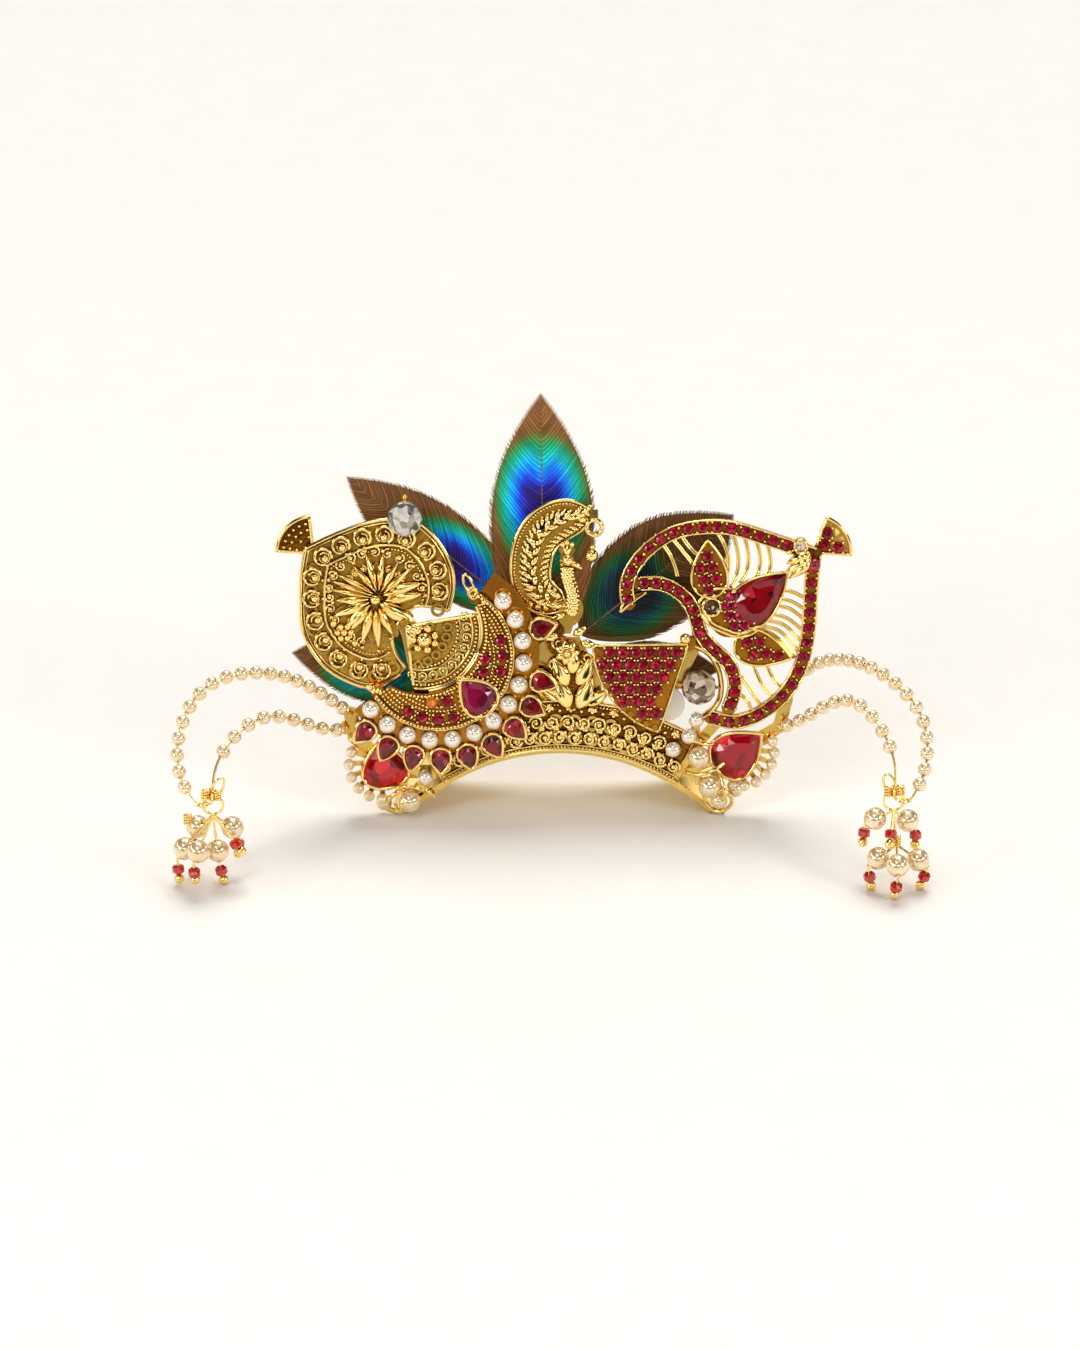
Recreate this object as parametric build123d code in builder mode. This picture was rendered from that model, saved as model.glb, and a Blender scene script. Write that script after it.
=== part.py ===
from build123d import *
from collections import namedtuple
from math import asin, cos, degrees, radians, sin, tan
import os

os.makedirs("parts", exist_ok=True)

# Driving sizes, in millimetres and degrees
LEAN = 13.0              # how far the front plates lean back
PLATE_T = 2.0            # thickness of a relief plate
PIERCED_T = 1.5          # thickness of struts and small pierced plates
RELIEF = 0.7             # height of raised ornament
CHANNEL_W = 4.0          # width of a channel holding a row of round stones
RIB_W = 1.1              # width of a plain rib
ROUND_STONE_D = 3.0      # round cut stones
BUD_ROUND_D = 2.5        # round cut stones of the bud
STRING_PEARL_D = 4.0     # pearls of the strings
CRESCENT_PEARL_D = 5.0   # pearls round the crescent
SMALL_PEARL_D = 3.2      # small pearls round the end settings
LARGE_PEARL_D = 6.4      # large pearls at the feet and in the tassels
RED_BEAD_D = 3.4         # red beads of the tassels
CRYSTAL_D = 10.2         # faceted clear beads
WIRE_D = 0.7             # wire of strings and pins

# Clearances
STACK_GAP = 0.2          # between plates laid one over another
SEAT_GAP = 0.15          # between a stone and the wall of its seat
HOLE_GAP = 0.15          # between a wire and a drilled hole, all round
SEAT_DEPTH = 1.0         # depth of a stone seat

# Levels in front of the leaning face plane
STRUT_LEVEL = -2.2
PLATE_LEVEL = STRUT_LEVEL + PIERCED_T + STACK_GAP
WALL_FRONT = 1.0
OVER_LEVEL = WALL_FRONT + STACK_GAP
FAN_LEVEL = PLATE_LEVEL + PLATE_T + STACK_GAP
LEFT_FAN_LEVEL = FAN_LEVEL + RELIEF
CRESCENT_LEVEL = 3.6

# The arched band
ARCH_R = 60.0            # inner radius of the arch over the brow
ARCH_RISE = 18.3         # top of the arch above the floor, along the lean
ARCH_X = 2.0             # middle of the arch, sideways
STRIP_T = 1.6
STRIP_DEPTH = 24.0       # front to back
WALL_H = 15.0            # height of the front wall
WALL_REACH = 40.8        # how far the front wall reaches to each side
FOOT_W = 4.0
FOOT_H = 1.6

# The crescent
CRESCENT_AT = (-32.3, 47.2)
CRESCENT_R = 21.2
CRESCENT_HOLLOW_AT = (-36.7, 53.7)
CRESCENT_HOLLOW_R = 17.4
CRESCENT_T = 3.0
LEDGE_T = 1.0
PEARL_RING_R = CRESCENT_R + 3.0
DROP_RING_R = PEARL_RING_R + 6.5
DROP_L = 6.4
DROP_W = 4.6
BEZEL_WALL = 0.9
PEAR_L = 11.0
PEAR_W = 9.0


def face(level):
    """The leaning plane of the front plates, moved forward by the level."""
    slope = radians(LEAN)
    return Plane(origin=(0, 0, 0), x_dir=(1, 0, 0), z_dir=(0, -cos(slope), sin(slope))).offset(level)


def spread(corner, width, height, shares):
    """Points placed by their shares of a width and a height."""
    return [(corner[0] + across * width, corner[1] + up * height) for across, up in shares]


def polar(centre, radius, angle):
    """A point at an angle and a radius from a centre."""
    return (centre[0] + radius * cos(radians(angle)), centre[1] + radius * sin(radians(angle)))


def along(points, count, start=0.0, end=1.0):
    """Evenly spaced spots on the smooth line through the points."""
    line = Spline(*points)
    step = (end - start) / (count - 1)
    return [line.position_at(start + step * index) for index in range(count)]


def steps(first, last, count):
    """Evenly spaced numbers from first to last."""
    return [first + (last - first) * index / (count - 1) for index in range(count)]


def pear_points(length, width, sides=14):
    """Corners of a pear outline with its point on +X."""
    fullest = 0.77
    turns = [radians(360 * index / sides) for index in range(sides)]
    return [(length / 2 * cos(turn), width / 2 * sin(turn) * sin(turn / 2) / fullest) for turn in turns]


def round_stone(diameter):
    """An eight-sided cut stone: table, crown, thin girdle and pavilion."""
    with BuildPart() as stone:
        with BuildSketch():
            RegularPolygon(diameter / 2, 8)
        extrude(amount=0.08 * diameter)
        extrude(stone.faces().sort_by(Axis.Z)[-1], amount=0.18 * diameter, taper=38)
        extrude(stone.faces().sort_by(Axis.Z)[0], amount=0.28 * diameter, taper=42)
    return stone.part


def pear_stone(length, width):
    """A pear-shaped cut stone with a table."""
    with BuildPart() as stone:
        with BuildSketch():
            Polygon(*pear_points(length, width), align=None)
        extrude(amount=0.08 * width)
        extrude(stone.faces().sort_by(Axis.Z)[-1], amount=0.14 * width, taper=35)
        extrude(stone.faces().sort_by(Axis.Z)[0], amount=0.06 * width, taper=35)
    return stone.part


def pearl(diameter, wire=WIRE_D):
    """A round pearl drilled through for its wire."""
    with BuildPart() as bead:
        Sphere(diameter / 2)
        Cylinder(wire / 2 + HOLE_GAP, 2 * diameter, mode=Mode.SUBTRACT)
    return bead.part


def red_bead():
    """A low faceted bead drilled through."""
    with BuildPart() as bead:
        with BuildSketch():
            RegularPolygon(RED_BEAD_D / 2, 10)
        extrude(amount=0.36 * RED_BEAD_D, both=True)
        chamfer(bead.faces().sort_by(Axis.Z)[-1].edges() + bead.faces().sort_by(Axis.Z)[0].edges(),
                length=0.14 * RED_BEAD_D)
        Cylinder(WIRE_D / 2 + HOLE_GAP, 2 * RED_BEAD_D, mode=Mode.SUBTRACT)
    return bead.part


def crystal_bead():
    """A clear bead of two eight-sided tiers above and below its girdle, drilled sideways."""
    half = CRYSTAL_D / 2
    with BuildPart() as bead:
        for side in (1, -1):
            for low, high, low_r, high_r in ((0, 0.45, 1.0, 0.86), (0.45, 0.92, 0.86, 0.42)):
                with BuildSketch(Plane.XY.offset(side * low * half)):
                    RegularPolygon(low_r * half, 8)
                with BuildSketch(Plane.XY.offset(side * high * half)):
                    RegularPolygon(high_r * half, 8)
                loft()
        Cylinder(WIRE_D / 2 + HOLE_GAP, 2 * CRYSTAL_D, mode=Mode.SUBTRACT)
    return bead.part


round_cut = round_stone(ROUND_STONE_D)
seat_r = ROUND_STONE_D / 2 + SEAT_GAP
DOWN = (Align.CENTER, Align.CENTER, Align.MAX)
UP = (Align.CENTER, Align.CENTER, Align.MIN)


def stones_at(spots, level, stone):
    """One node of loose stones standing in their seats."""
    with BuildPart(face(level)) as field:
        with Locations(*spots):
            add(stone)
    return field.part


def save(part, name):
    """Label a piece and write its file, with the middle of the arch at x = 0."""
    placed = part.moved(Location((-ARCH_X, 0, 0)))
    placed.label = name
    export_step(placed, f"parts/{name}.step")


# The band: arched strip, front wall, struts behind the plates, and feet
arch_centre = (ARCH_X, ARCH_RISE - ARCH_R)
arch_centre_z = ARCH_RISE * cos(radians(LEAN)) - ARCH_R
wall_half_angle = degrees(asin(WALL_REACH / (ARCH_R + WALL_H)))
scroll_r = 2.2
Strut = namedtuple("Strut", "points width")
STRUTS = (
    Strut(((-30, 24), (-38, 38), (-41, 52), (-47, 66)), 3.4),
    Strut(((-33, 12), (-42, 12), (-48, 15), (-56, 22), (-57, 28.8)), 4.0),
    Strut(((-6, 28), (-6, 66)), 3.0),
    Strut(((28, 26), (36, 40), (41, 50), (40.2, 57), (35.5, 63.6)), 3.2),
    Strut(((36, 12), (44, 15), (54, 19), (64, 25), (66, 33)), 3.6),
    Strut(((38, 14), (41, 20), (47, 27)), 3.0),
)
LEAF_PANEL = ((-6.0, 30.0), (14.4, 30.0), (13.6, 38.0), (11.0, 45.0), (7.4, 51.4), (-0.6, 51.4), (-6.0, 48.0))
EYELETS = ((-57.0, 28.8), (-58.2, 24.8), (66.2, 35.0), (64.2, 25.2))
with BuildPart() as base_band:
    with BuildSketch(Plane.XZ):
        with Locations((ARCH_X, arch_centre_z)):
            Circle(ARCH_R + STRIP_T)
            Circle(ARCH_R, mode=Mode.SUBTRACT)
        with Locations((ARCH_X, -ARCH_R)):
            Rectangle(3 * ARCH_R, 2 * ARCH_R, mode=Mode.SUBTRACT)
        foot_x = (ARCH_R ** 2 - arch_centre_z ** 2) ** 0.5 + FOOT_W / 2
        with Locations((ARCH_X - foot_x, 0), (ARCH_X + foot_x, 0)):
            Rectangle(FOOT_W, FOOT_H, align=(Align.CENTER, Align.MIN))
    extrude(amount=-STRIP_DEPTH)
    with BuildSketch(face(-WALL_FRONT)):
        with Locations(arch_centre):
            Circle(ARCH_R + WALL_H)
            Circle(ARCH_R, mode=Mode.SUBTRACT)
        side = tan(radians(wall_half_angle)) * 2 * ARCH_R
        fan = [arch_centre, (ARCH_X - side, arch_centre[1] + 2 * ARCH_R),
               (ARCH_X + side, arch_centre[1] + 2 * ARCH_R)]
        Polygon(*fan, align=None, mode=Mode.INTERSECT)
        Polygon(*LEAF_PANEL, align=None)
    extrude(amount=2 * WALL_FRONT)
    with BuildSketch(face(0)):
        with Locations(arch_centre):
            Circle(ARCH_R + 1.2)
            Circle(ARCH_R, mode=Mode.SUBTRACT)
        Polygon(*fan, align=None, mode=Mode.INTERSECT)
    extrude(amount=WALL_FRONT + STACK_GAP)
    with BuildSketch(face(0)):
        row_angles = ((ARCH_R + 4.4, steps(95, 69, 7)), (ARCH_R + 8.8, steps(91, 78, 4)))
        spots = [polar(arch_centre, radius, angle) for radius, angles in row_angles for angle in angles]
        with Locations(*spots):
            Circle(scroll_r)
            Circle(0.6 * scroll_r, mode=Mode.SUBTRACT)
            Circle(0.25 * scroll_r)
    extrude(amount=WALL_FRONT + RELIEF)
    for strut in STRUTS:
        with BuildSketch(face(STRUT_LEVEL)):
            with BuildLine():
                Polyline(*strut.points)
            trace(line_width=strut.width)
            with Locations(strut.points[-1]):
                Circle(strut.width / 2)
        extrude(amount=PIERCED_T)
    with BuildSketch(face(STRUT_LEVEL)):
        with Locations(*EYELETS):
            Circle(2.0)
    extrude(amount=PIERCED_T)
    with Locations(face(0)):
        with Locations(*EYELETS):
            Cylinder(WIRE_D / 2 + HOLE_GAP, 4 * PLATE_T, mode=Mode.SUBTRACT)
    with Locations(Plane.XY):
        Box(4 * ARCH_R, 2 * STRIP_DEPTH, ARCH_R, align=(Align.CENTER, Align.CENTER, Align.MAX),
            mode=Mode.SUBTRACT)
    split(bisect_by=face(WALL_FRONT + RELIEF), keep=Keep.BOTTOM)

# The left leaf plate with scroll rim and radiating petals
LEFT_TOP = spread((-69.4, 59.1), 41.7, 26.2,
                  ((0, 0.68), (0.1, 0.76), (0.27, 0.88), (0.44, 0.97), (0.6, 1), (0.77, 0.95), (0.89, 0.77),
                   (0.97, 0.55), (1, 0.27), (0.96, 0)))
LEFT_BITE = spread((-45.1, 42.5), 15.7, 17.8,
                   ((1, 0.93), (0.68, 1), (0.41, 1), (0.14, 0.77), (0, 0.53), (0.05, 0.26), (0.23, 0)))
LEFT_SIDE = spread((-70.8, 37.0), 29.4, 39.9,
                   ((0.95, 0.1), (0.65, 0), (0.43, 0.05), (0.24, 0.14), (0.1, 0.27), (0.02, 0.41), (0, 0.63),
                    (0.01, 0.81), (0.05, 1)))
PETALS_AT = (-50.0, 61.5)
crystal_left_at = (-41.4, 85.4)
crystal_left_level = PLATE_LEVEL + PLATE_T + 0.5
rim_spots = []
for edge, count, end in ((LEFT_TOP, 9, 1.0), (LEFT_SIDE, 9, 0.92)):
    inner_edge = [(0.86 * u + 0.14 * PETALS_AT[0], 0.86 * v + 0.14 * PETALS_AT[1]) for u, v in edge]
    rim_spots += along(inner_edge, count, 0.03, end)
with BuildPart() as left_leaf_plate:
    with BuildSketch(face(PLATE_LEVEL)):
        with BuildLine():
            Spline(*LEFT_TOP)
            Polyline(LEFT_TOP[-1], LEFT_BITE[0])
            Spline(*LEFT_BITE)
            Polyline(LEFT_BITE[-1], LEFT_SIDE[0])
            Spline(*LEFT_SIDE)
            Polyline(LEFT_SIDE[-1], LEFT_TOP[0])
        make_face()
    extrude(amount=PLATE_T)
    with BuildSketch(face(PLATE_LEVEL + PLATE_T)):
        with Locations(*rim_spots):
            Circle(2.0)
            Circle(1.1, mode=Mode.SUBTRACT)
    extrude(amount=RELIEF)
    with BuildSketch(face(PLATE_LEVEL + PLATE_T)):
        with Locations(PETALS_AT):
            with PolarLocations(7.2, 10, 15):
                Ellipse(4.4, 1.7)
            Circle(2.6)
    extrude(amount=RELIEF)
    with Locations(face(PLATE_LEVEL)):
        with Locations(crystal_left_at):
            Cylinder(CRYSTAL_D / 2 + 2 * STACK_GAP, 6 * PLATE_T, mode=Mode.SUBTRACT)
        with Locations((crystal_left_at[0], crystal_left_at[1] - CRYSTAL_D / 2 - 1.2)):
            Cylinder(WIRE_D, crystal_left_level - PLATE_LEVEL, align=UP)
    with Locations(face(crystal_left_level)):
        with Locations((crystal_left_at[0], crystal_left_at[1] - 0.3)):
            Cylinder(WIRE_D / 2, CRYSTAL_D + 3.0, rotation=(90, 0, 0))
        with Locations((crystal_left_at[0], crystal_left_at[1] + CRYSTAL_D / 2 + 1.2)):
            Sphere(WIRE_D)
save(left_leaf_plate.part, "left_leaf_plate")

# The small fans at the two outer corners: pierced, with radial bars
SmallFan = namedtuple("SmallFan", "name apex radius start end bars")
SMALL_FANS = (
    SmallFan("left_small_fan", (-67.2, 75.4), 10.6, 96, 178, 4),
    SmallFan("right_small_fan", (73.2, 75.4), 10.8, -4, 70, 3),
)
SMALL_FAN_STONES = ((0.62, 0.81), (0.34, 0.54), (0.64, 0.21))
fan_rim_w = 1.5
for fan_row in SMALL_FANS:
    middle = (fan_row.start + fan_row.end) / 2
    with BuildPart() as small_fan:
        with BuildSketch(face(STRUT_LEVEL)):
            with BuildLine():
                Polyline(polar(fan_row.apex, fan_row.radius, fan_row.start), fan_row.apex,
                         polar(fan_row.apex, fan_row.radius, fan_row.end))
                ThreePointArc(polar(fan_row.apex, fan_row.radius, fan_row.end),
                              polar(fan_row.apex, fan_row.radius, middle),
                              polar(fan_row.apex, fan_row.radius, fan_row.start))
            make_face()
            offset(amount=-fan_rim_w, mode=Mode.SUBTRACT)
            for angle in steps(fan_row.start, fan_row.end, fan_row.bars + 2)[1:-1]:
                with Locations(polar(fan_row.apex, fan_row.radius / 2, angle)):
                    Rectangle(fan_row.radius - 1, RIB_W, rotation=angle)
        extrude(amount=PIERCED_T)
        if fan_row.name == "right_small_fan":
            fan_angle = fan_row.end - fan_row.start
            small_fan_spots = [polar(fan_row.apex, reach * fan_row.radius, fan_row.start + turn * fan_angle)
                               for reach, turn in SMALL_FAN_STONES]
            with BuildSketch(face(STRUT_LEVEL)):
                with Locations(*small_fan_spots):
                    Circle(ROUND_STONE_D / 2 + 0.7)
            extrude(amount=PIERCED_T)
            with Locations(face(STRUT_LEVEL + PIERCED_T)):
                with Locations(*small_fan_spots):
                    Cylinder(seat_r, SEAT_DEPTH, align=DOWN, mode=Mode.SUBTRACT)
    save(small_fan.part, fan_row.name)
save(stones_at(small_fan_spots, STRUT_LEVEL + PIERCED_T, round_cut), "small_fan_rubies")

# The left tail fan: three scalloped bands round an apex inside the crescent
LEFT_FAN_AT = (-41.0, 55.2)
LEFT_FAN_R = 19.5
with BuildPart() as left_tail_fan:
    with BuildSketch(face(LEFT_FAN_LEVEL)):
        with Locations(CRESCENT_HOLLOW_AT):
            Circle(CRESCENT_HOLLOW_R - 2 * STACK_GAP)
        wedge = [LEFT_FAN_AT, polar(LEFT_FAN_AT, 2 * LEFT_FAN_R, 10), polar(LEFT_FAN_AT, 3 * LEFT_FAN_R, -40),
                 polar(LEFT_FAN_AT, 2 * LEFT_FAN_R, -84)]
        Polygon(*wedge, align=None, mode=Mode.INTERSECT)
        with Locations(LEFT_FAN_AT):
            Circle(2.0)
    extrude(amount=PLATE_T)
    for radius, count in ((6.5, 4), (11.5, 6), (16.0, 8)):
        with BuildSketch(face(LEFT_FAN_LEVEL + PLATE_T)):
            spots = [polar(LEFT_FAN_AT, radius, angle) for angle in steps(0, -74, count)]
            inside = [spot for spot in spots
                      if (Vector(*spot) - Vector(*CRESCENT_HOLLOW_AT)).length < CRESCENT_HOLLOW_R - 2.2]
            with Locations(*inside):
                Circle(1.4)
                Circle(0.7, mode=Mode.SUBTRACT)
        extrude(amount=RELIEF)
    with Locations(face(PLATE_LEVEL)):
        with Locations(LEFT_FAN_AT):
            Cylinder(0.9, LEFT_FAN_LEVEL + RELIEF - PLATE_LEVEL, align=UP)
save(left_tail_fan.part, "left_tail_fan")

# The crescent with its ledge of pearls and ring of drop bezels
drop_angles = [angle for angle in steps(-133, 15, 11) if abs(angle) > 5]
drop_spots = [(polar(CRESCENT_AT, DROP_RING_R, angle), angle) for angle in drop_angles]
pearl_angles = steps(-141, 41, 13)
crescent_pearl_spots = [polar(CRESCENT_AT, PEARL_RING_R, angle) for angle in pearl_angles]
crescent_ruby_spots = [polar(CRESCENT_AT, CRESCENT_R - 3.0, angle) for angle in (-118, -104, -90, -76, -14, 0, 14)]
crescent_ruby_spots += [polar(CRESCENT_AT, CRESCENT_R - 7.8, angle) for angle in (-79, -97, -3, -20)]
pear_at = polar(CRESCENT_AT, CRESCENT_R - 5.8, -46)
pear_turn = 134
crescent_top = CRESCENT_LEVEL + CRESCENT_T
TIP_START, TIP_END = -146, 56
with BuildPart() as crescent_plate:
    with BuildSketch(face(CRESCENT_LEVEL)):
        with Locations(CRESCENT_AT):
            Circle(CRESCENT_R)
        with Locations(CRESCENT_HOLLOW_AT):
            Circle(CRESCENT_HOLLOW_R, mode=Mode.SUBTRACT)
        opening = [CRESCENT_AT] + [polar(CRESCENT_AT, 2 * CRESCENT_R, angle)
                                   for angle in steps(TIP_END, 360 + TIP_START, 4)]
        Polygon(*opening, align=None, mode=Mode.SUBTRACT)
    extrude(amount=CRESCENT_T)
    with BuildSketch(face(crescent_top)):
        with Locations(CRESCENT_AT):
            Circle(CRESCENT_R)
            Circle(CRESCENT_R - 1.0, mode=Mode.SUBTRACT)
        Polygon(*opening, align=None, mode=Mode.SUBTRACT)
    extrude(amount=RELIEF)
    with BuildSketch(face(CRESCENT_LEVEL)):
        with Locations(CRESCENT_AT):
            Circle(DROP_RING_R - DROP_L / 2 + 1)
            Circle(CRESCENT_R - 1, mode=Mode.SUBTRACT)
        Polygon(*opening, align=None, mode=Mode.SUBTRACT)
    extrude(amount=LEDGE_T)
    with BuildSketch(face(CRESCENT_LEVEL)):
        for spot, angle in drop_spots:
            with Locations(Location((*spot, 0), (0, 0, angle))):
                Polygon(*pear_points(DROP_L + 2 * BEZEL_WALL, DROP_W + 2 * BEZEL_WALL), align=None)
    extrude(amount=PLATE_T)
    with BuildSketch(face(CRESCENT_LEVEL)):
        with Locations(polar(CRESCENT_AT, CRESCENT_R - 1.4, TIP_START - 2),
                       polar(CRESCENT_AT, CRESCENT_R - 1.4, TIP_END + 2)):
            Circle(1.8)
    extrude(amount=CRESCENT_T)
    with BuildSketch(face(CRESCENT_LEVEL + PLATE_T)):
        for spot, angle in drop_spots:
            with Locations(Location((*spot, 0), (0, 0, angle))):
                Polygon(*pear_points(DROP_L + 2 * SEAT_GAP, DROP_W + 2 * SEAT_GAP), align=None)
    extrude(amount=-SEAT_DEPTH, mode=Mode.SUBTRACT)
    with BuildSketch(face(crescent_top)):
        with Locations(Location((*pear_at, 0), (0, 0, pear_turn))):
            Polygon(*pear_points(PEAR_L + 2 * BEZEL_WALL, PEAR_W + 2 * BEZEL_WALL), align=None)
    extrude(amount=RELIEF)
    with BuildSketch(face(crescent_top + RELIEF)):
        with Locations(Location((*pear_at, 0), (0, 0, pear_turn))):
            Polygon(*pear_points(PEAR_L + 2 * SEAT_GAP, PEAR_W + 2 * SEAT_GAP), align=None)
    extrude(amount=-SEAT_DEPTH - RELIEF, mode=Mode.SUBTRACT)
    with Locations(face(crescent_top)):
        with Locations(*crescent_ruby_spots):
            Cylinder(seat_r, SEAT_DEPTH, align=DOWN, mode=Mode.SUBTRACT)
    with Locations(face(CRESCENT_LEVEL + LEDGE_T)):
        with Locations(*crescent_pearl_spots):
            Cylinder(WIRE_D / 2, CRESCENT_PEARL_D / 2, align=UP)
    with Locations(face(PLATE_LEVEL)):
        with Locations((-33.4, 29.6), (-35.6, 33.8)):
            Cylinder(1.2, CRESCENT_LEVEL + LEDGE_T / 2 - PLATE_LEVEL, align=UP)
save(crescent_plate.part, "crescent_plate")


def pegged_pearl(diameter):
    """A round pearl drilled from below to its middle for a peg."""
    with BuildPart() as bead:
        Sphere(diameter / 2)
        Cylinder(WIRE_D / 2 + HOLE_GAP, diameter, align=DOWN, mode=Mode.SUBTRACT)
        with Locations((0, 0, 0)):
            Cylinder(WIRE_D / 2 + HOLE_GAP, 0.3 * diameter, align=UP, mode=Mode.SUBTRACT)
    return bead.part


crescent_pearl_level = CRESCENT_LEVEL + LEDGE_T + STACK_GAP / 2 + CRESCENT_PEARL_D / 2
save(stones_at(crescent_pearl_spots, crescent_pearl_level, pegged_pearl(CRESCENT_PEARL_D)), "crescent_pearls")
save(stones_at(crescent_ruby_spots, crescent_top, round_cut), "crescent_rubies")
with BuildPart(face(crescent_top)) as crescent_stone:
    with Locations(Location((*pear_at, 0), (0, 0, pear_turn))):
        add(pear_stone(PEAR_L, PEAR_W))
save(crescent_stone.part, "crescent_stone")
with BuildPart(face(CRESCENT_LEVEL + PLATE_T)) as drop_stones:
    with Locations(*[Location((*spot, 0), (0, 0, angle)) for spot, angle in drop_spots]):
        add(pear_stone(DROP_L, DROP_W))
save(drop_stones.part, "drop_stones")

# The peacock: curled pierced tail, body, neck, head and crest
TAIL_OUTER = spread((-11.8, 57.1), 23.0, 33.6,
                    ((1, 0.91), (0.72, 1), (0.48, 0.98), (0.23, 0.87), (0.05, 0.66), (0, 0.44), (0.05, 0.23),
                     (0.2, 0.1), (0.35, 0.03), (0.6, 0)))
TAIL_INNER = spread((-0.6, 57.1), 11.8, 30.5,
                    ((0.23, 0), (0.33, 0.12), (0.26, 0.24), (0.02, 0.35), (0, 0.49), (0.1, 0.63), (0.45, 0.75),
                     (0.81, 0.85), (1, 1)))
TAIL_GAPS = ((-6.8, 78.2, 60), (-8.2, 73.0, 85), (-7.0, 67.6, 115), (-3.2, 83.4, 35), (1.6, 85.8, 10))
NECK = ((5.0, 59.0), (5.6, 64.5), (4.2, 69.0), (4.0, 73.6))
with BuildPart() as peacock:
    with BuildSketch(face(PLATE_LEVEL)):
        with BuildLine():
            Spline(*TAIL_OUTER)
            Polyline(TAIL_OUTER[-1], TAIL_INNER[0])
            Spline(*TAIL_INNER)
            Polyline(TAIL_INNER[-1], TAIL_OUTER[0])
        make_face()
        for across, up, turn in TAIL_GAPS:
            with Locations((across, up)):
                Ellipse(2.3, 1.0, rotation=turn, mode=Mode.SUBTRACT)
    extrude(amount=PLATE_T)
    with BuildSketch(face(PLATE_LEVEL)):
        with BuildLine():
            Spline(*NECK)
        trace(line_width=2.8)
        with Locations(NECK[0]):
            Ellipse(3.4, 4.6, rotation=-20)
        with Locations(NECK[-1]):
            Circle(2.1)
        Polygon((5.2, 74.4), (5.2, 72.4), (8.8, 70.9), align=None)
        Polygon((3.0, 56.0), (6.0, 56.0), (5.0, 52.6), (3.4, 52.6), align=None)
        with Locations((2.6, 76.6), (4.0, 77.6), (5.4, 76.6)):
            Circle(0.9)
            Rectangle(0.6, 4.0)
    extrude(amount=PLATE_T + RELIEF)
    with Locations(face(PLATE_LEVEL + PLATE_T)):
        with Locations(*along(((-6.4, 61.0), (-3.6, 60.2), (0.4, 60.0)), 4)):
            Sphere(1.1)
save(peacock.part, "peacock")

# The ring at the tip of the tail with its stem and small ball
RING_AT = (11.6, 83.2)
with BuildPart() as tail_ring:
    with BuildSketch(face(PLATE_LEVEL + PLATE_T + STACK_GAP)):
        with Locations(RING_AT):
            Circle(2.8)
            Circle(1.5, mode=Mode.SUBTRACT)
        with Locations((RING_AT[0] - 0.5, RING_AT[1] - 4.8)):
            Rectangle(0.9, 5.0)
        with Locations((RING_AT[0] - 0.2, RING_AT[1] + 3.6)):
            Rectangle(2.4, 3.0)
    extrude(amount=1.2)
    with Locations(face(PLATE_LEVEL + PLATE_T + STACK_GAP + 0.6)):
        with Locations((RING_AT[0] - 0.8, RING_AT[1] - 8.2)):
            Sphere(1.9)
save(tail_ring.part, "tail_ring")

# The leaf and flower cluster above the middle of the band
Leaf = namedtuple("Leaf", "across up length width turn")
LEAVES = (
    Leaf(4.2, 35.0, 8.0, 4.6, 105), Leaf(8.6, 34.6, 8.4, 4.6, 60), Leaf(5.0, 40.6, 9.0, 5.0, 95),
    Leaf(9.4, 39.4, 7.0, 4.0, 62), Leaf(7.6, 44.4, 6.4, 3.8, 70), Leaf(12.0, 34.2, 6.4, 3.8, 66),
    Leaf(0.4, 36.0, 7.0, 4.0, 112), Leaf(0.6, 42.4, 6.4, 3.8, 118), Leaf(0.2, 48.6, 5.0, 3.2, 140),
)
FLOWER_AT = (4.0, 47.4)
with BuildPart() as centre_leaves:
    with BuildSketch(face(OVER_LEVEL)):
        for leaf in LEAVES:
            with Locations(Location((leaf.across, leaf.up, 0), (0, 0, leaf.turn))):
                Polygon(*pear_points(leaf.length, leaf.width), align=None)
        for leaf in LEAVES:
            with BuildLine():
                Line((leaf.across, leaf.up), (5.0, leaf.up - 3.0))
            trace(line_width=1.2)
        with Locations((5.0, 39.5)):
            Rectangle(2.0, 16.0)
    extrude(amount=1.3)
    with BuildSketch(face(OVER_LEVEL)):
        with Locations(FLOWER_AT):
            with PolarLocations(2.2, 6):
                Circle(1.4)
            Circle(1.6)
    extrude(amount=2.0)
    with Locations(face(OVER_LEVEL + 2.0)):
        with Locations(FLOWER_AT):
            Sphere(1.2)
save(centre_leaves.part, "centre_leaves")

# The right leaf frame: stone channels, ribs, loop wire and the bud's mount
RIGHT_BORDER = spread((20.7, 61.2), 52.6, 21.8,
                      ((0.01, 0), (0, 0.24), (0.05, 0.53), (0.13, 0.75), (0.24, 0.92), (0.39, 1), (0.55, 0.99),
                       (0.71, 0.88), (0.87, 0.75), (1, 0.64)))
RIGHT_SIDE = spread((44.5, 27.0), 28.8, 48.3,
                    ((1, 1), (0.97, 0.79), (0.95, 0.55), (0.89, 0.36), (0.74, 0.18), (0.51, 0.06), (0.25, 0),
                     (0, 0.03)))
RIGHT_CURVE = spread((24.6, 29.8), 26.6, 37.1,
                     ((0, 1), (0.2, 1), (0.41, 0.93), (0.56, 0.79), (0.65, 0.6), (0.81, 0.47), (0.95, 0.36),
                      (1, 0.17), (0.94, 0.03)))
RIGHT_LOOP = spread((39.5, 28.1), 7.8, 21.0,
                    ((0, 1), (0.43, 0.92), (0.79, 0.77), (1, 0.52), (1, 0.32), (0.79, 0.14), (0.32, 0)))
Rib = namedtuple("Rib", "start end")
RIBS = tuple(Rib((across, 68.5), (across + 1.6, 81.5)) for across in steps(50.4, 61.2, 4))
RIBS += tuple(Rib((58.0, up), (72.0, up + 0.8)) for up in steps(50.6, 65.0, 5))
RIBS += tuple(Rib((across, 66.0), (across + 6.0, 80.0)) for across in steps(23.5, 34.0, 4))
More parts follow.
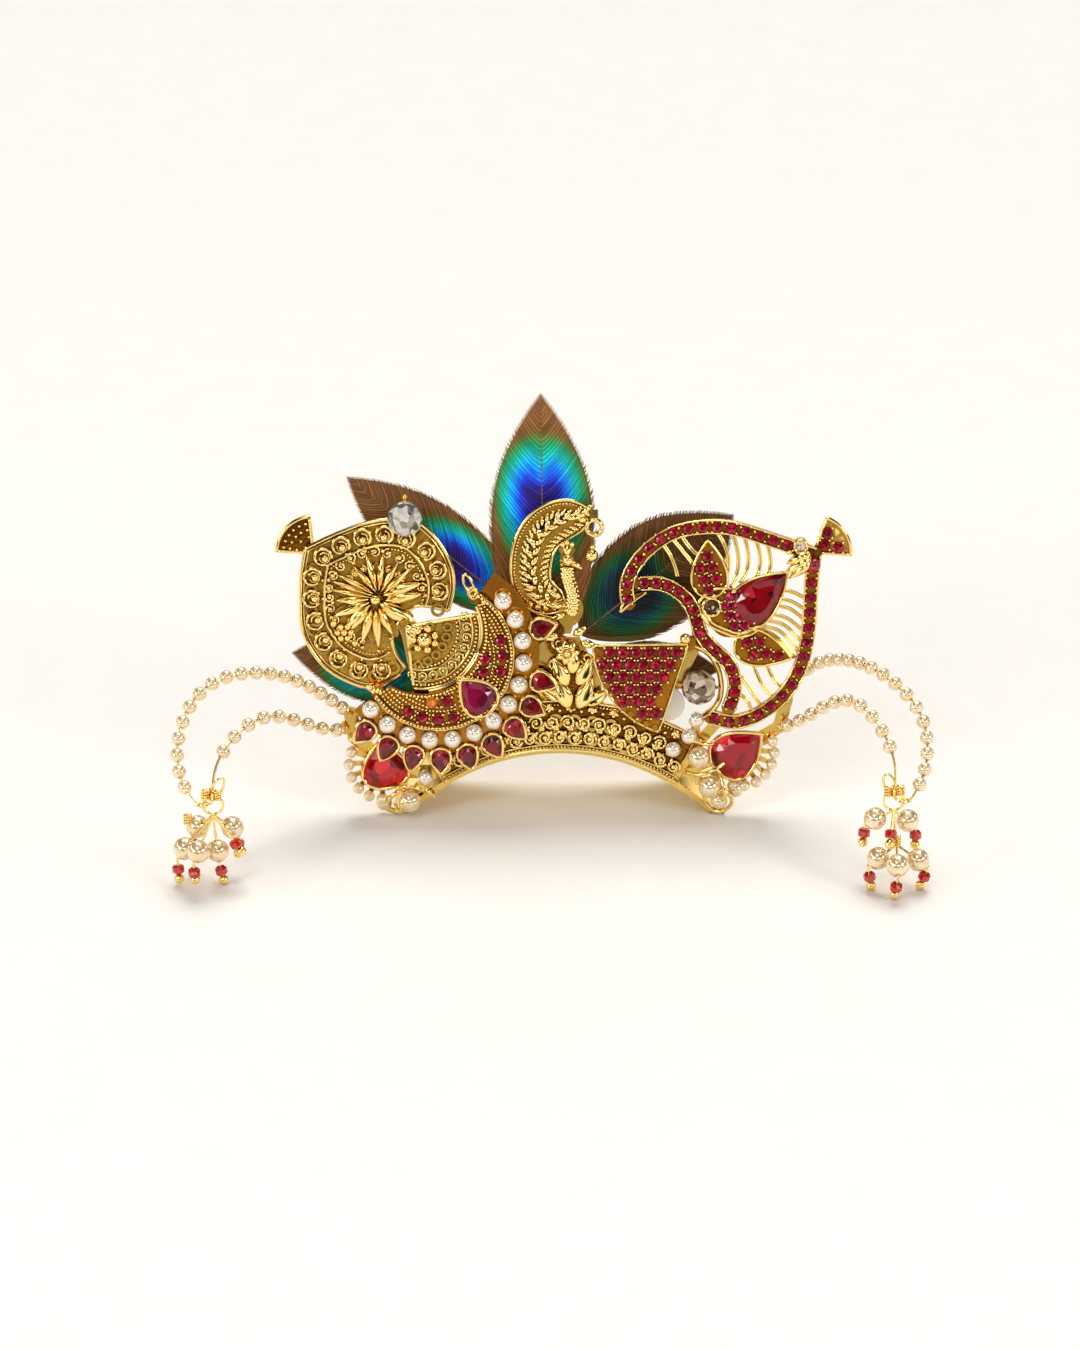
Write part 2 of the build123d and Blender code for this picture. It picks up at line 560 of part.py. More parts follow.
RIBS += tuple(Rib((50.6, up), (68.0, up - 9.5)) for up in steps(38.5, 48.5, 4))
crystal_right_at = (41.2, 37.2)
crystal_right_level = PLATE_LEVEL + PLATE_T + 0.9
loop_right = 47.2
BUD_AT = (59.2, 66.6)
BUD_L, BUD_W = 15.4, 6.2
bud_turn = 34
LEAF_SPOTS = ((43.1, 75.0), (41.2, 70.8), (44.9, 70.6), (43.0, 66.4))
LOW_LEAF_SPOTS = ((53.8, 49.6), (58.6, 50.2), (57.0, 46.2), (61.4, 46.0))
BUD_SPOTS = ((49.2, 62.8), (48.8, 59.4), (51.8, 59.4), (50.6, 56.2), (54.4, 57.6), (56.9, 59.6), (53.4, 54.6),
             (57.2, 56.4), (59.9, 61.2))
EYE_AT = (44.6, 60.2)
EYE_D = 4.0
TIP_STONE_AT = (69.4, 77.6)
frame_spots = along(RIGHT_BORDER, 15, 0.02, 0.88) + along(RIGHT_SIDE, 15, 0.06, 0.98)
frame_spots += along(RIGHT_CURVE, 15, 0.02, 0.97)
frame_top = PLATE_LEVEL + PLATE_T
with BuildPart() as right_leaf_frame:
    for channel in (RIGHT_BORDER, RIGHT_SIDE, RIGHT_CURVE):
        with BuildSketch(face(PLATE_LEVEL)):
            with BuildLine():
                Spline(*channel)
            trace(line_width=CHANNEL_W)
            with Locations(channel[0], channel[-1]):
                Circle(CHANNEL_W / 2)
        extrude(amount=PLATE_T)
    with BuildSketch(face(PLATE_LEVEL)):
        with BuildLine():
            Spline(*RIGHT_LOOP)
        trace(line_width=1.5)
        with Locations(RIGHT_LOOP[-1]):
            Rectangle(5.0, 1.5, align=(Align.MIN, Align.CENTER))
        Polygon((19.4, 63.0), (18.8, 58.6), (22.6, 61.2), (26.2, 64.6), align=None)
    extrude(amount=PLATE_T)
    with Locations(face(PLATE_LEVEL)):
        with Locations((loop_right, crystal_right_at[1])):
            Cylinder(WIRE_D, crystal_right_level - PLATE_LEVEL + WIRE_D, align=UP)
    with Locations(face(crystal_right_level)):
        with Locations((crystal_right_at[0] + 0.3, crystal_right_at[1])):
            Cylinder(WIRE_D / 2, CRYSTAL_D + 3.0, rotation=(0, 90, 0))
        with Locations((crystal_right_at[0] - CRYSTAL_D / 2 - 1.2, crystal_right_at[1])):
            Sphere(WIRE_D)
    with BuildSketch(face(PLATE_LEVEL)):
        for rib in RIBS:
            with BuildLine():
                Line(rib.start, rib.end)
            trace(line_width=RIB_W)
    extrude(amount=PIERCED_T)
    with BuildSketch(face(PLATE_LEVEL)):
        with Locations(Location((*BUD_AT, 0), (0, 0, bud_turn))):
            Polygon(*pear_points(BUD_L + 3.4, BUD_W + 2.2), align=None)
        with Locations(*BUD_SPOTS, *LEAF_SPOTS, *LOW_LEAF_SPOTS, TIP_STONE_AT):
            Circle(ROUND_STONE_D / 2 + 0.8)
        with Locations(EYE_AT):
            Circle(3.2)
        with Locations(Location((42.6, 70.4, 0), (0, 0, 82))):
            Polygon(*pear_points(17.0, 11.0), align=None)
        with Locations(Location((57.6, 48.0, 0), (0, 0, -10))):
            Polygon(*pear_points(17.5, 10.0), align=None)
        Polygon((40.0, 63.0), (46.0, 66.0), (56.0, 56.0), (47.0, 56.0), (40.0, 58.0), align=None)
        Polygon((49.0, 57.0), (55.0, 56.0), (58.0, 50.0), (54.0, 50.0), align=None)
    extrude(amount=PLATE_T)
    with BuildSketch(face(frame_top)):
        with Locations(Location((*BUD_AT, 0), (0, 0, bud_turn))):
            Polygon(*pear_points(BUD_L + 2 * SEAT_GAP, BUD_W + 2 * SEAT_GAP), align=None)
        with Locations(EYE_AT):
            Circle(EYE_D / 2 + SEAT_GAP)
    extrude(amount=-1.3 * SEAT_DEPTH, mode=Mode.SUBTRACT)
    with Locations(face(frame_top)):
        with Locations(*frame_spots, *LEAF_SPOTS, *LOW_LEAF_SPOTS, TIP_STONE_AT):
            Cylinder(seat_r, SEAT_DEPTH, align=DOWN, mode=Mode.SUBTRACT)
        with Locations(*BUD_SPOTS):
            Cylinder(BUD_ROUND_D / 2 + SEAT_GAP, SEAT_DEPTH, align=DOWN, mode=Mode.SUBTRACT)
save(right_leaf_frame.part, "right_leaf_frame")
save(stones_at(frame_spots, frame_top, round_cut), "frame_rubies")
save(stones_at(BUD_SPOTS, frame_top, round_stone(BUD_ROUND_D)), "bud_rubies")
save(stones_at(LEAF_SPOTS + LOW_LEAF_SPOTS, frame_top, round_cut), "leaf_rubies")
save(stones_at((TIP_STONE_AT,), frame_top, round_cut), "tip_stone")
save(stones_at((EYE_AT,), frame_top, round_stone(EYE_D)), "eye_stone")
with BuildPart(face(frame_top)) as bud_stone:
    with Locations(Location((*BUD_AT, 0), (0, 0, bud_turn))):
        add(pear_stone(BUD_L, BUD_W))
save(bud_stone.part, "bud_stone")

# The right tail fan with its triangle of stones
RIGHT_FAN_AT = (38.0, 50.0)
RIGHT_FAN_R = 27.0
FAN_GRID = ((14.8, 46.2), (35.0, 47.6), (27.6, 29.2))
fan_rows = 6
fan_spots = []
for row in range(fan_rows):
    for column in range(fan_rows - row):
        right, down = column / (fan_rows - 1), row / (fan_rows - 1)
        fan_spots.append(tuple(corner + right * (far - corner) + down * (low - corner)
                               for corner, far, low in zip(*FAN_GRID)))
with BuildPart() as right_tail_fan:
    with BuildSketch(face(FAN_LEVEL)):
        with BuildLine():
            Polyline(polar(RIGHT_FAN_AT, RIGHT_FAN_R, 252), RIGHT_FAN_AT, polar(RIGHT_FAN_AT, RIGHT_FAN_R, 181))
            ThreePointArc(polar(RIGHT_FAN_AT, RIGHT_FAN_R, 181), polar(RIGHT_FAN_AT, RIGHT_FAN_R - 0.8, 216),
                          polar(RIGHT_FAN_AT, RIGHT_FAN_R, 252))
        make_face()
        with Locations(RIGHT_FAN_AT):
            Circle(2.2)
    extrude(amount=PLATE_T)
    with BuildSketch(face(FAN_LEVEL + PLATE_T)):
        with Locations(*[polar(RIGHT_FAN_AT, RIGHT_FAN_R - 1.2, angle) for angle in steps(184, 249, 12)]):
            Circle(0.9)
    extrude(amount=RELIEF)
    with Locations(face(FAN_LEVEL + PLATE_T)):
        with Locations(*fan_spots):
            Cylinder(seat_r, SEAT_DEPTH, align=DOWN, mode=Mode.SUBTRACT)
    with Locations(face(PLATE_LEVEL)):
        with Locations((34.2, 38.6)):
            Cylinder(1.0, FAN_LEVEL + RELIEF - PLATE_LEVEL, align=UP)
save(right_tail_fan.part, "right_tail_fan")
save(stones_at(fan_spots, FAN_LEVEL + PLATE_T, round_cut), "tail_fan_rubies")

# The two end settings with their large stones and the pearls round them
EndSetting = namedtuple("EndSetting", "side at turn length width pearl_ring first last count big_pearls")
END_SETTINGS = (
    EndSetting("left", (-47.6, 14.6), 100, 12.6, 12.0, 10.0, 158, 266, 6, ((-40.4, 4.6),)),
    EndSetting("right", (52.6, 18.4), 38, 15.0, 12.4, 10.0, -100, 18, 7, ((41.2, 17.4), (44.4, 8.8))),
)
setting_h = 2.0
end_sink = 0.9
for setting in END_SETTINGS:
    ring_spots = [polar(setting.at, setting.pearl_ring, angle)
                  for angle in steps(setting.first, setting.last, setting.count)]
    with BuildPart() as end_setting:
        with BuildSketch(face(PLATE_LEVEL)):
            with Locations(Location((*setting.at, 0), (0, 0, setting.turn))):
                Polygon(*pear_points(setting.length + 2 * BEZEL_WALL, setting.width + 2 * BEZEL_WALL), align=None)
        extrude(amount=setting_h)
        with BuildSketch(face(PLATE_LEVEL)):
            for spot in ring_spots:
                with BuildLine():
                    Line(setting.at, spot)
                trace(line_width=1.4)
            with Locations(*ring_spots):
                Circle(1.3)
        extrude(amount=LEDGE_T)
        with BuildSketch(face(PLATE_LEVEL + setting_h)):
            with Locations(Location((*setting.at, 0), (0, 0, setting.turn))):
                Polygon(*pear_points(setting.length + 2 * SEAT_GAP, setting.width + 2 * SEAT_GAP), align=None)
        extrude(amount=SEAT_GAP - setting_h, mode=Mode.SUBTRACT)
        with Locations(face(PLATE_LEVEL + LEDGE_T)):
            with Locations(*ring_spots):
                Cylinder(WIRE_D / 2, SMALL_PEARL_D / 2, align=UP)
    save(end_setting.part, f"{setting.side}_end_setting")
    with BuildPart(face(PLATE_LEVEL + setting_h - end_sink)) as end_stone:
        with Locations(Location((*setting.at, 0), (0, 0, setting.turn))):
            add(pear_stone(setting.length, setting.width))
    save(end_stone.part, f"{setting.side}_end_stone")
    ring_level = PLATE_LEVEL + LEDGE_T + STACK_GAP / 2 + SMALL_PEARL_D / 2
    foot_pearls = stones_at(ring_spots, ring_level, pegged_pearl(SMALL_PEARL_D))
    save(foot_pearls, f"{setting.side}_rim_pearls")

# Large pearls beside the end settings, on pegs of the band
big_spots = [spot for setting in END_SETTINGS for spot in setting.big_pearls]
big_level = WALL_FRONT + STACK_GAP / 2 + LARGE_PEARL_D / 2
save(stones_at(big_spots, big_level, pegged_pearl(LARGE_PEARL_D)), "foot_pearls")

# Smaller pearls standing on pegs of the band
BAND_PEARL_D = 4.4
BAND_PEARLS = ((40.4, 28.0), (38.4, 23.2), (34.0, 19.4), (-36.0, 11.2))
band_pearl_level = WALL_FRONT + STACK_GAP / 2 + BAND_PEARL_D / 2
save(stones_at(BAND_PEARLS, band_pearl_level, pegged_pearl(BAND_PEARL_D)), "band_pearls")

# The flat white disc behind the right tail fan
DISC_D = 10.0
DISC_T = 0.5
DISC_AT = (32.2, 32.2)
with BuildPart() as disc_bead:
    with BuildSketch(face(WALL_FRONT + STACK_GAP / 2)):
        with Locations(DISC_AT):
            Circle(DISC_D / 2)
    extrude(amount=DISC_T)
    chamfer(disc_bead.edges().filter_by(GeomType.CIRCLE), length=0.3 * DISC_T)
save(disc_bead.part, "disc_bead")

# The band again, with the pegs of its pearls
with BuildPart() as band_with_pegs:
    add(base_band.part)
    for spots, height in ((big_spots, LARGE_PEARL_D / 2), (BAND_PEARLS, BAND_PEARL_D / 2)):
        with BuildSketch(face(STRUT_LEVEL)):
            for spot in spots:
                with BuildLine():
                    Line(spot, polar(arch_centre, ARCH_R + 4, 53 if spot[0] > 0 else 127))
                trace(line_width=2.4)
            with Locations(*spots):
                Circle(1.2)
        extrude(amount=PIERCED_T)
        with BuildSketch(face(STRUT_LEVEL)):
            with Locations(*spots):
                Circle(1.2)
        extrude(amount=WALL_FRONT - STRUT_LEVEL)
        with Locations(face(WALL_FRONT)):
            with Locations(*spots):
                Cylinder(WIRE_D / 2, height, align=UP)
    with Locations(Plane.XY):
        Box(4 * ARCH_R, 2 * STRIP_DEPTH, ARCH_R, align=(Align.CENTER, Align.CENTER, Align.MAX),
            mode=Mode.SUBTRACT)
save(band_with_pegs.part, "base_band")

# Faceted clear beads on their pins
with BuildPart(face(crystal_left_level)) as left_crystal:
    with Locations(Location((*crystal_left_at, 0), (90, 0, 22.5))):
        add(crystal_bead())
save(left_crystal.part, "left_crystal")
with BuildPart(face(crystal_right_level)) as right_crystal:
    with Locations(Location((*crystal_right_at, 0), (22.5, 90, 0))):
        add(crystal_bead())
save(right_crystal.part, "right_crystal")

# The five feather vanes: a leaf-shaped web cut into locks along both edges, with a shaft
Feather = namedtuple("Feather", "name foot turn length width level")
vane_t = 0.8
feather_level = STRUT_LEVEL - 1.5 * STACK_GAP - vane_t
FEATHERS = (
    Feather("feather_centre", (-2.4, 46.0), 90.8, 74.5, 30.0, feather_level),
    Feather("feather_left", (-8.0, 56.8), 141.6, 63.8, 23.0, feather_level - vane_t - 2 * STACK_GAP),
    Feather("feather_right", (8.0, 51.2), 38.7, 55.0, 31.0, feather_level - vane_t - 2 * STACK_GAP),
    Feather("feather_low_left", (-22.0, 38.0), 171.2, 52.4, 23.0, feather_level),
    Feather("feather_low_right", (13.2, 44.6), -6.2, 34.4, 13.0, feather_level),
)
VANE = ((0.04, 0.24), (0.10, 0.46), (0.17, 0.66), (0.24, 0.81), (0.32, 0.92), (0.40, 0.98), (0.48, 1.0),
        (0.56, 0.99), (0.64, 0.93), (0.72, 0.81), (0.80, 0.63), (0.88, 0.40), (0.95, 0.17))
lock_notch = 0.93
for feather in FEATHERS:
    edge = []
    for share, half in VANE:
        edge.append((share * feather.length, half * feather.width / 2))
        edge.append(((share + 0.02) * feather.length, lock_notch * half * feather.width / 2))
    lower_edge = [(reach, -half) for reach, half in reversed(edge)]
    with BuildPart(face(feather.level)) as vane:
        with BuildSketch(face(feather.level)):
            with Locations(Location((*feather.foot, 0), (0, 0, feather.turn))):
                Polygon((0, 0.6), *edge, (feather.length, 0), *lower_edge, (0, -0.6), align=None)
        extrude(amount=vane_t)
        with BuildSketch(face(feather.level)):
            with Locations(Location((*feather.foot, 0), (0, 0, feather.turn))):
                Rectangle(0.9 * feather.length, 1.0, align=(Align.MIN, Align.CENTER))
        extrude(amount=vane_t + STACK_GAP / 2)
    save(vane.part, feather.name)

# The two tassels: a ring, pins through pearls and red beads, and a ball at each pin's end
Pin = namedtuple("Pin", "start pearl ball")
Tassel = namedtuple("Tassel", "side ring pins")
RING_FOOT = (0, 0, -3)
LOW_KNOT = (1.0, -2.0, -12.6)
TASSELS = (
    Tassel("left", (-93.4, -42.0, 24.4), (
        Pin(RING_FOOT, (-8.2, 0.5, -13.8), (-9.8, -1.0, -22.4)),
        Pin(RING_FOOT, (-4.0, -5.2, -11.7), (-5.2, -4.8, -20.6)),
        Pin(RING_FOOT, (0.9, 0, -14.2), (2.4, -0.4, -23.0)),
        Pin(RING_FOOT, (4.8, 4.8, -9.5), (6.2, 5.0, -17.6)),
        Pin(RING_FOOT, (-4.8, 5.4, -9.5), (-6.4, 5.6, -17.8)),
        Pin(RING_FOOT, None, (7.6, -1.5, -13.6)),
    )),
    Tassel("right", (93.5, -42.0, 25.6), (
        Pin(RING_FOOT, (-4.8, 2.2, -6.6), (-8.0, 2.4, -14.0)),
        Pin(RING_FOOT, (4.2, 2.2, -7.2), (6.4, 2.6, -14.8)),
        Pin(RING_FOOT, None, (-1.2, -5.6, -10.4)),
        Pin(LOW_KNOT, (-4.0, -3.0, -16.2), (-5.8, -4.0, -24.2)),
        Pin(LOW_KNOT, (1.0, -8.0, -15.8), (0.4, -9.4, -24.0)),
        Pin(LOW_KNOT, (7.0, -2.8, -16.8), (7.8, -3.6, -24.2)),
    )),
)
BALL_R = 1.4
RING_R = 2.8
RING_EYE_R = 1.3
tassel_pearl = pearl(LARGE_PEARL_D)
tassel_red = red_bead()


def pin_spot(start, end, share):
    """A spot on the straight line from start to end, its Z axis along that line."""
    return Location(Plane(origin=start + (end - start) * share, z_dir=end - start))


for tassel in TASSELS:
    ring_at = Vector(*tassel.ring)
    pearl_spots = []
    red_spots = []
    rods = []
    for pin in tassel.pins:
        start = ring_at + Vector(*pin.start)
        ball = ring_at + Vector(*pin.ball)
        bend = start
        if pin.pearl:
            middle = ring_at + Vector(*pin.pearl)
            bend = middle + (middle - start).normalized() * (LARGE_PEARL_D / 2 + WIRE_D / 2)
            pearl_spots.append(pin_spot(start, middle, 1.0))
            rods.append((start, bend))
        rods.append((bend, ball))
        red_spots.append(pin_spot(ball, bend, (BALL_R + 0.4 * RED_BEAD_D) / (bend - ball).length))
    if tassel.pins[-1].start == LOW_KNOT:
        rods.append((ring_at + Vector(*RING_FOOT), ring_at + Vector(*LOW_KNOT)))
    with BuildPart() as pins:
        with Locations(Location(ring_at, (90, 0, 0))):
            Torus(RING_R, WIRE_D / 2)
        for start, end in rods:
            with Locations(pin_spot(start, end, 0.5)):
                Cylinder(WIRE_D / 2, (end - start).length)
            with Locations(start, end):
                Sphere(WIRE_D / 2)
        with Locations(*[ring_at + Vector(*pin.ball) for pin in tassel.pins]):
            Sphere(BALL_R)
    save(pins.part, f"{tassel.side}_tassel_pins")
    with BuildPart() as tassel_pearls:
        with Locations(*pearl_spots):
            add(tassel_pearl)
    save(tassel_pearls.part, f"{tassel.side}_tassel_pearls")
    with BuildPart() as reds:
        with Locations(*red_spots):
            add(tassel_red)
    save(reds.part, f"{tassel.side}_tassel_red_beads")

# The four strings: a wire along its route, evenly spaced pearls, and an eye linked into the tassel's ring
String = namedtuple("String", "side name pearls first last start route at_top")
STRINGS = (
    String("left", "outer", 18, 0.045, 0.93, (-57.0, 28.8, 0.25),
           ((-65.0, 1.0, 37.2), (-81.5, -9.3, 48.8), (-96.6, -19.3, 48.4), (-103.3, -29.3, 38.0)), False),
    String("left", "inner", 9, 0.06, 0.80, (-58.2, 24.8, 0.25),
           ((-64.4, -1.0, 27.2), (-80.9, -17.2, 38.6), (-88.2, -26.2, 37.1)), True),
    String("right", "outer", 16, 0.10, 0.93, (66.2, 35.0, -3.1),
           ((72.6, 12.5, 39.7), (80.0, 4.5, 46.2), (91.3, -10.0, 48.9), (101.9, -22.7, 41.6), (101.8, -35.7, 30.2)), False),
    String("right", "inner", 10, 0.05, 0.80, (64.2, 25.2, 0.25),
           ((70.0, -0.5, 29.8), (84.3, -16.0, 42.7), (90.2, -24.7, 39.8)), True),
)
ring_places = {tassel.side: Vector(*tassel.ring) for tassel in TASSELS}
string_pearl = pearl(STRING_PEARL_D)
for string in STRINGS:
    across, up, level = string.start
    outward = Vector(0, 0, 1) if string.at_top else Vector(1 if string.side == "right" else -1, 0, 0)
    eye_at = ring_places[string.side] + outward * RING_R
    eye_turn = (0, 90, 0) if string.at_top else (0, 0, 0)
    first = face(level).from_local_coords(Vector(across, up, 0))
    stops = [first, *string.route, eye_at + outward * (RING_EYE_R + WIRE_D / 4)]
    with BuildPart() as wire:
        with BuildLine() as route_line:
            Spline(*stops)
        route = route_line.edge()
        with BuildSketch(route ^ 0):
            Circle(WIRE_D / 2)
        sweep()
        with Locations(first):
            Sphere(WIRE_D)
        with Locations(Location(eye_at, eye_turn)):
            Torus(RING_EYE_R, WIRE_D / 2)
    save(wire.part, f"{string.side}_{string.name}_wire")
    with BuildPart() as beads:
        with Locations(*[route ^ share for share in steps(string.first, string.last, string.pearls)]):
            add(string_pearl)
    save(beads.part, f"{string.side}_{string.name}_pearls")
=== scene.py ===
import math
from collections import namedtuple

import bmesh
import bpy
import numpy as np
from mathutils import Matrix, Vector


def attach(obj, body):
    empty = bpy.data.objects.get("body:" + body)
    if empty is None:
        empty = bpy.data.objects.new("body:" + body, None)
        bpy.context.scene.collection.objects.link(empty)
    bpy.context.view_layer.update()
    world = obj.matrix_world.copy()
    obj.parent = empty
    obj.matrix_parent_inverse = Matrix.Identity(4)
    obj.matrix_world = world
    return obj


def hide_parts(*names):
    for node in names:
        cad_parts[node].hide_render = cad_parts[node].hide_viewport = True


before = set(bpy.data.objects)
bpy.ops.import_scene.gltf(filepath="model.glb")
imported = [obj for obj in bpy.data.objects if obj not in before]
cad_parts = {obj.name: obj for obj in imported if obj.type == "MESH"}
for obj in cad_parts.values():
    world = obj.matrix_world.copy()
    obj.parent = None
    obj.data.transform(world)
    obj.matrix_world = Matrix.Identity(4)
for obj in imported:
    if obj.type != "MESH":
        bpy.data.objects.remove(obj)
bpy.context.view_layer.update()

MM = 0.001
TAU = 2 * math.pi
LEAN = math.radians(13.0)
ARCH_X = 2.0
PEAR_PEAK = 0.77  # the greatest value of an angle's sine times its half angle's
rng = np.random.default_rng(7)


# Places and lines, in millimetres on the leaning face: across, up, and out in front of it
def placed(points):
    """Face places to the shared frame: up leans back by the lean's sine, out comes forward by its cosine."""
    across, up, out = points[..., 0], points[..., 1], points[..., 2]
    back = up * math.sin(LEAN) - out * math.cos(LEAN)
    height = up * math.cos(LEAN) + out * math.sin(LEAN)
    return MM * np.stack((across - ARCH_X, back, height), -1)


def standing(points):
    """Upright places, in millimetres, with the arch's middle at ARCH_X across, to the shared frame."""
    return MM * (points - np.array((ARCH_X, 0.0, 0.0)))


def heading(degrees):
    """The flat unit direction of an angle: its cosine across and its sine up."""
    angle = np.radians(degrees)
    return np.stack((np.cos(angle), np.sin(angle)), -1)


def bearing(steps):
    """The angle of each flat step, in degrees."""
    return np.degrees(np.arctan2(steps[..., 1], steps[..., 0]))


def spread(corner, width, height, shares):
    """Flat points by their shares of a width and a height from a corner."""
    return np.array(corner) + np.array(shares, float) * np.array((width, height))


def smooth(points, count, first=0.0, last=1.0):
    """A cubic line through points: its bend runs on evenly over the chord lengths, from none to none."""
    points = np.asarray(points, float)
    reach = np.concatenate(([0.0], np.cumsum(np.linalg.norm(np.diff(points, axis=0), axis=1))))
    gap = np.diff(reach)
    size = len(points)
    inner = np.arange(1, size - 1)
    matrix = np.eye(size)
    matrix[inner, inner - 1] = gap[:-1]
    matrix[inner, inner] = 2 * (gap[:-1] + gap[1:])
    matrix[inner, inner + 1] = gap[1:]
    wanted = np.zeros_like(points)
    wanted[1:-1] = 6 * np.diff(np.diff(points, axis=0) / gap[:, None], axis=0)
    bend = np.linalg.solve(matrix, wanted)
    at = np.linspace(first * reach[-1], last * reach[-1], count)
    run = np.clip(np.searchsorted(reach, at, side="right") - 1, 0, size - 2)
    near = ((reach[run + 1] - at) / gap[run])[:, None]
    far = 1 - near
    bow = (near ** 3 - near) * bend[run] + (far ** 3 - far) * bend[run + 1]
    return near * points[run] + far * points[run + 1] + bow * gap[run, None] ** 2 / 6


def arc(centre, radius, first, last, count):
    """Flat points at evenly spaced angles round a centre, in degrees."""
    return np.array(centre) + radius * heading(np.linspace(first, last, count))


def beside(path, offset):
    """The line beside a flat path, moved across its own direction by the offset."""
    ahead = np.gradient(path, axis=0)
    ahead = ahead / np.linalg.norm(ahead, axis=1, keepdims=True)
    return path + offset * np.stack((-ahead[:, 1], ahead[:, 0]), -1)


def lifted(path, level):
    """A flat path at a level in front of the face."""
    path = np.asarray(path, float)
    return np.concatenate((path, np.full(path.shape[:-1] + (1,), float(level))), -1)


def even(path, step):
    """Spots along a path at an even step, found by its running length."""
    reach = np.concatenate(([0.0], np.cumsum(np.linalg.norm(np.diff(path, axis=0), axis=1))))
    at = np.linspace(0, reach[-1], max(2, int(round(reach[-1] / step)) + 1))
    return np.stack([np.interp(at, reach, path[:, axis]) for axis in range(path.shape[1])], -1)


def pear(length, width, count=28, step=0.0):
    """A pear outline, point ahead: the angle's cosine along, its sine times the half angle's sine across."""
    turn = TAU * (np.arange(count) + step) / count
    return np.stack((length / 2 * np.cos(turn), width / 2 * np.sin(turn) * np.sin(turn / 2) / PEAR_PEAK), -1)


def turned(shape, spots, degrees):
    """Copies of a flat shape, each turned by its angle and moved to its spot."""
    spots = np.atleast_2d(np.asarray(spots, float))
    angle = np.radians(np.broadcast_to(degrees, len(spots)))[:, None]
    across = shape[:, 0] * np.cos(angle) - shape[:, 1] * np.sin(angle)
    up = shape[:, 0] * np.sin(angle) + shape[:, 1] * np.cos(angle)
    return spots[:, None, :] + np.stack((across, up), -1)


# Surfaces: each is a lattice of points, rows along it and columns round it
def tube(path, radius, sides=6, lift=(0, 0, 1), closed=False):
    """A round tube: a circle square to the path at each of its points. Open ends draw in to a point."""
    path = np.asarray(path, float)
    radius = np.broadcast_to(radius, path.shape[:-1]).astype(float)
    if closed:
        ahead = np.roll(path, -1, -2) - np.roll(path, 1, -2)
    else:
        ahead = np.gradient(path, axis=-2)
    ahead = ahead / np.linalg.norm(ahead, axis=-1, keepdims=True)
    side = np.cross(ahead, np.array(lift, float))
    side = side / np.linalg.norm(side, axis=-1, keepdims=True)
    over = np.cross(side, ahead)
    if not closed:
        path, side, over = (np.concatenate((a[..., :1, :], a, a[..., -1:, :]), -2)
                            for a in (path, side, over))
        radius = np.concatenate((0 * radius[..., :1], radius, 0 * radius[..., -1:]), -1)
    turn = TAU * np.arange(sides) / sides
    ring = side[..., None, :] * np.cos(turn)[:, None] + over[..., None, :] * np.sin(turn)[:, None]
    return path[..., None, :] + radius[..., None, None] * ring


def balls(spots, radius, bands=4, sides=8):
    """Balls: rings whose radius is the sine and whose height the cosine of an angle from pole to pole."""
    spots = np.atleast_2d(np.asarray(spots, float))
    radius = np.broadcast_to(radius, len(spots))[:, None, None, None]
    tilt = np.linspace(0, math.pi, bands + 1)[:, None]
    turn = TAU * np.arange(sides) / sides
    unit = np.stack((np.sin(tilt) * np.cos(turn), np.sin(tilt) * np.sin(turn), np.cos(tilt) + 0 * turn), -1)
    return spots[:, None, None, :] + radius * unit


def cut_ball(spot, radius, bands=8, sides=12):
    """A faceted ball: rings from pole to pole as of a ball, every second one turned by half a side."""
    tilt = np.linspace(0, math.pi, bands + 1)[:, None]
    turn = TAU * (np.arange(sides) + 0.5 * (np.arange(bands + 1) % 2)[:, None]) / sides
    unit = np.stack((np.sin(tilt) * np.cos(turn), np.sin(tilt) * np.sin(turn), np.cos(tilt) + 0 * turn), -1)
    return np.asarray(spot, float) + radius * unit


def leaves(spots, degrees, length, width, height, vein=0.4, bow=0.0, rows=9, sides=10):
    """Leaves lying on the face: an oval section that swells as a sine from foot to tip, its top grooved by a
    narrow bell along the middle; bow bends the middle line sideways with the share's square."""
    spots = np.atleast_2d(np.asarray(spots, float))
    size = len(spots)
    length, width, height, bow = (np.broadcast_to(v, size)[:, None, None]
                                  for v in (length, width, height, bow))
    share = np.linspace(0, 1, rows)[:, None]
    swell = np.sin(math.pi * share ** 0.8)
    swell[[0, -1]] = 0.0
    turn = TAU * np.arange(sides) / sides
    groove = 1 - vein * np.exp(-(np.cos(turn) / 0.3) ** 2)
    top = np.where(np.sin(turn) > 0, np.sin(turn) * groove, 0.4 * np.sin(turn))
    ahead = length * share + 0 * turn
    aside = width / 2 * swell * np.cos(turn) + bow * length * share ** 2
    out = height * swell ** 0.7 * top + 0 * ahead
    angle = np.radians(np.broadcast_to(degrees, size))[:, None, None]
    across = ahead * np.cos(angle) - aside * np.sin(angle)
    up = ahead * np.sin(angle) + aside * np.cos(angle)
    return spots[:, None, None, :] + np.stack((across, up, out), -1)


def strap(path, half, low, high):
    """A flat strap along a path: a four-cornered section square to it, drawn in to a point at both ends."""
    edges = [beside(path, side * half) for side in (1, 1, -1, -1)]
    rings = np.stack([lifted(edge, level) for edge, level in zip(edges, (low, high, high, low))], 1)
    ends = [np.repeat(lifted(path[[end]], (low + high) / 2)[:, None], 4, 1) for end in (0, -1)]
    return np.concatenate((ends[0], rings, ends[1]))


def plate(outline, low, high):
    """A flat plate: its outline drawn in to the middle below and above, round an upright edge."""
    middle = outline.mean(0)
    return np.stack([lifted(middle + scale * (outline - middle), level)
                     for scale, level in ((0, low), (1, low), (1, high), (0, high))])


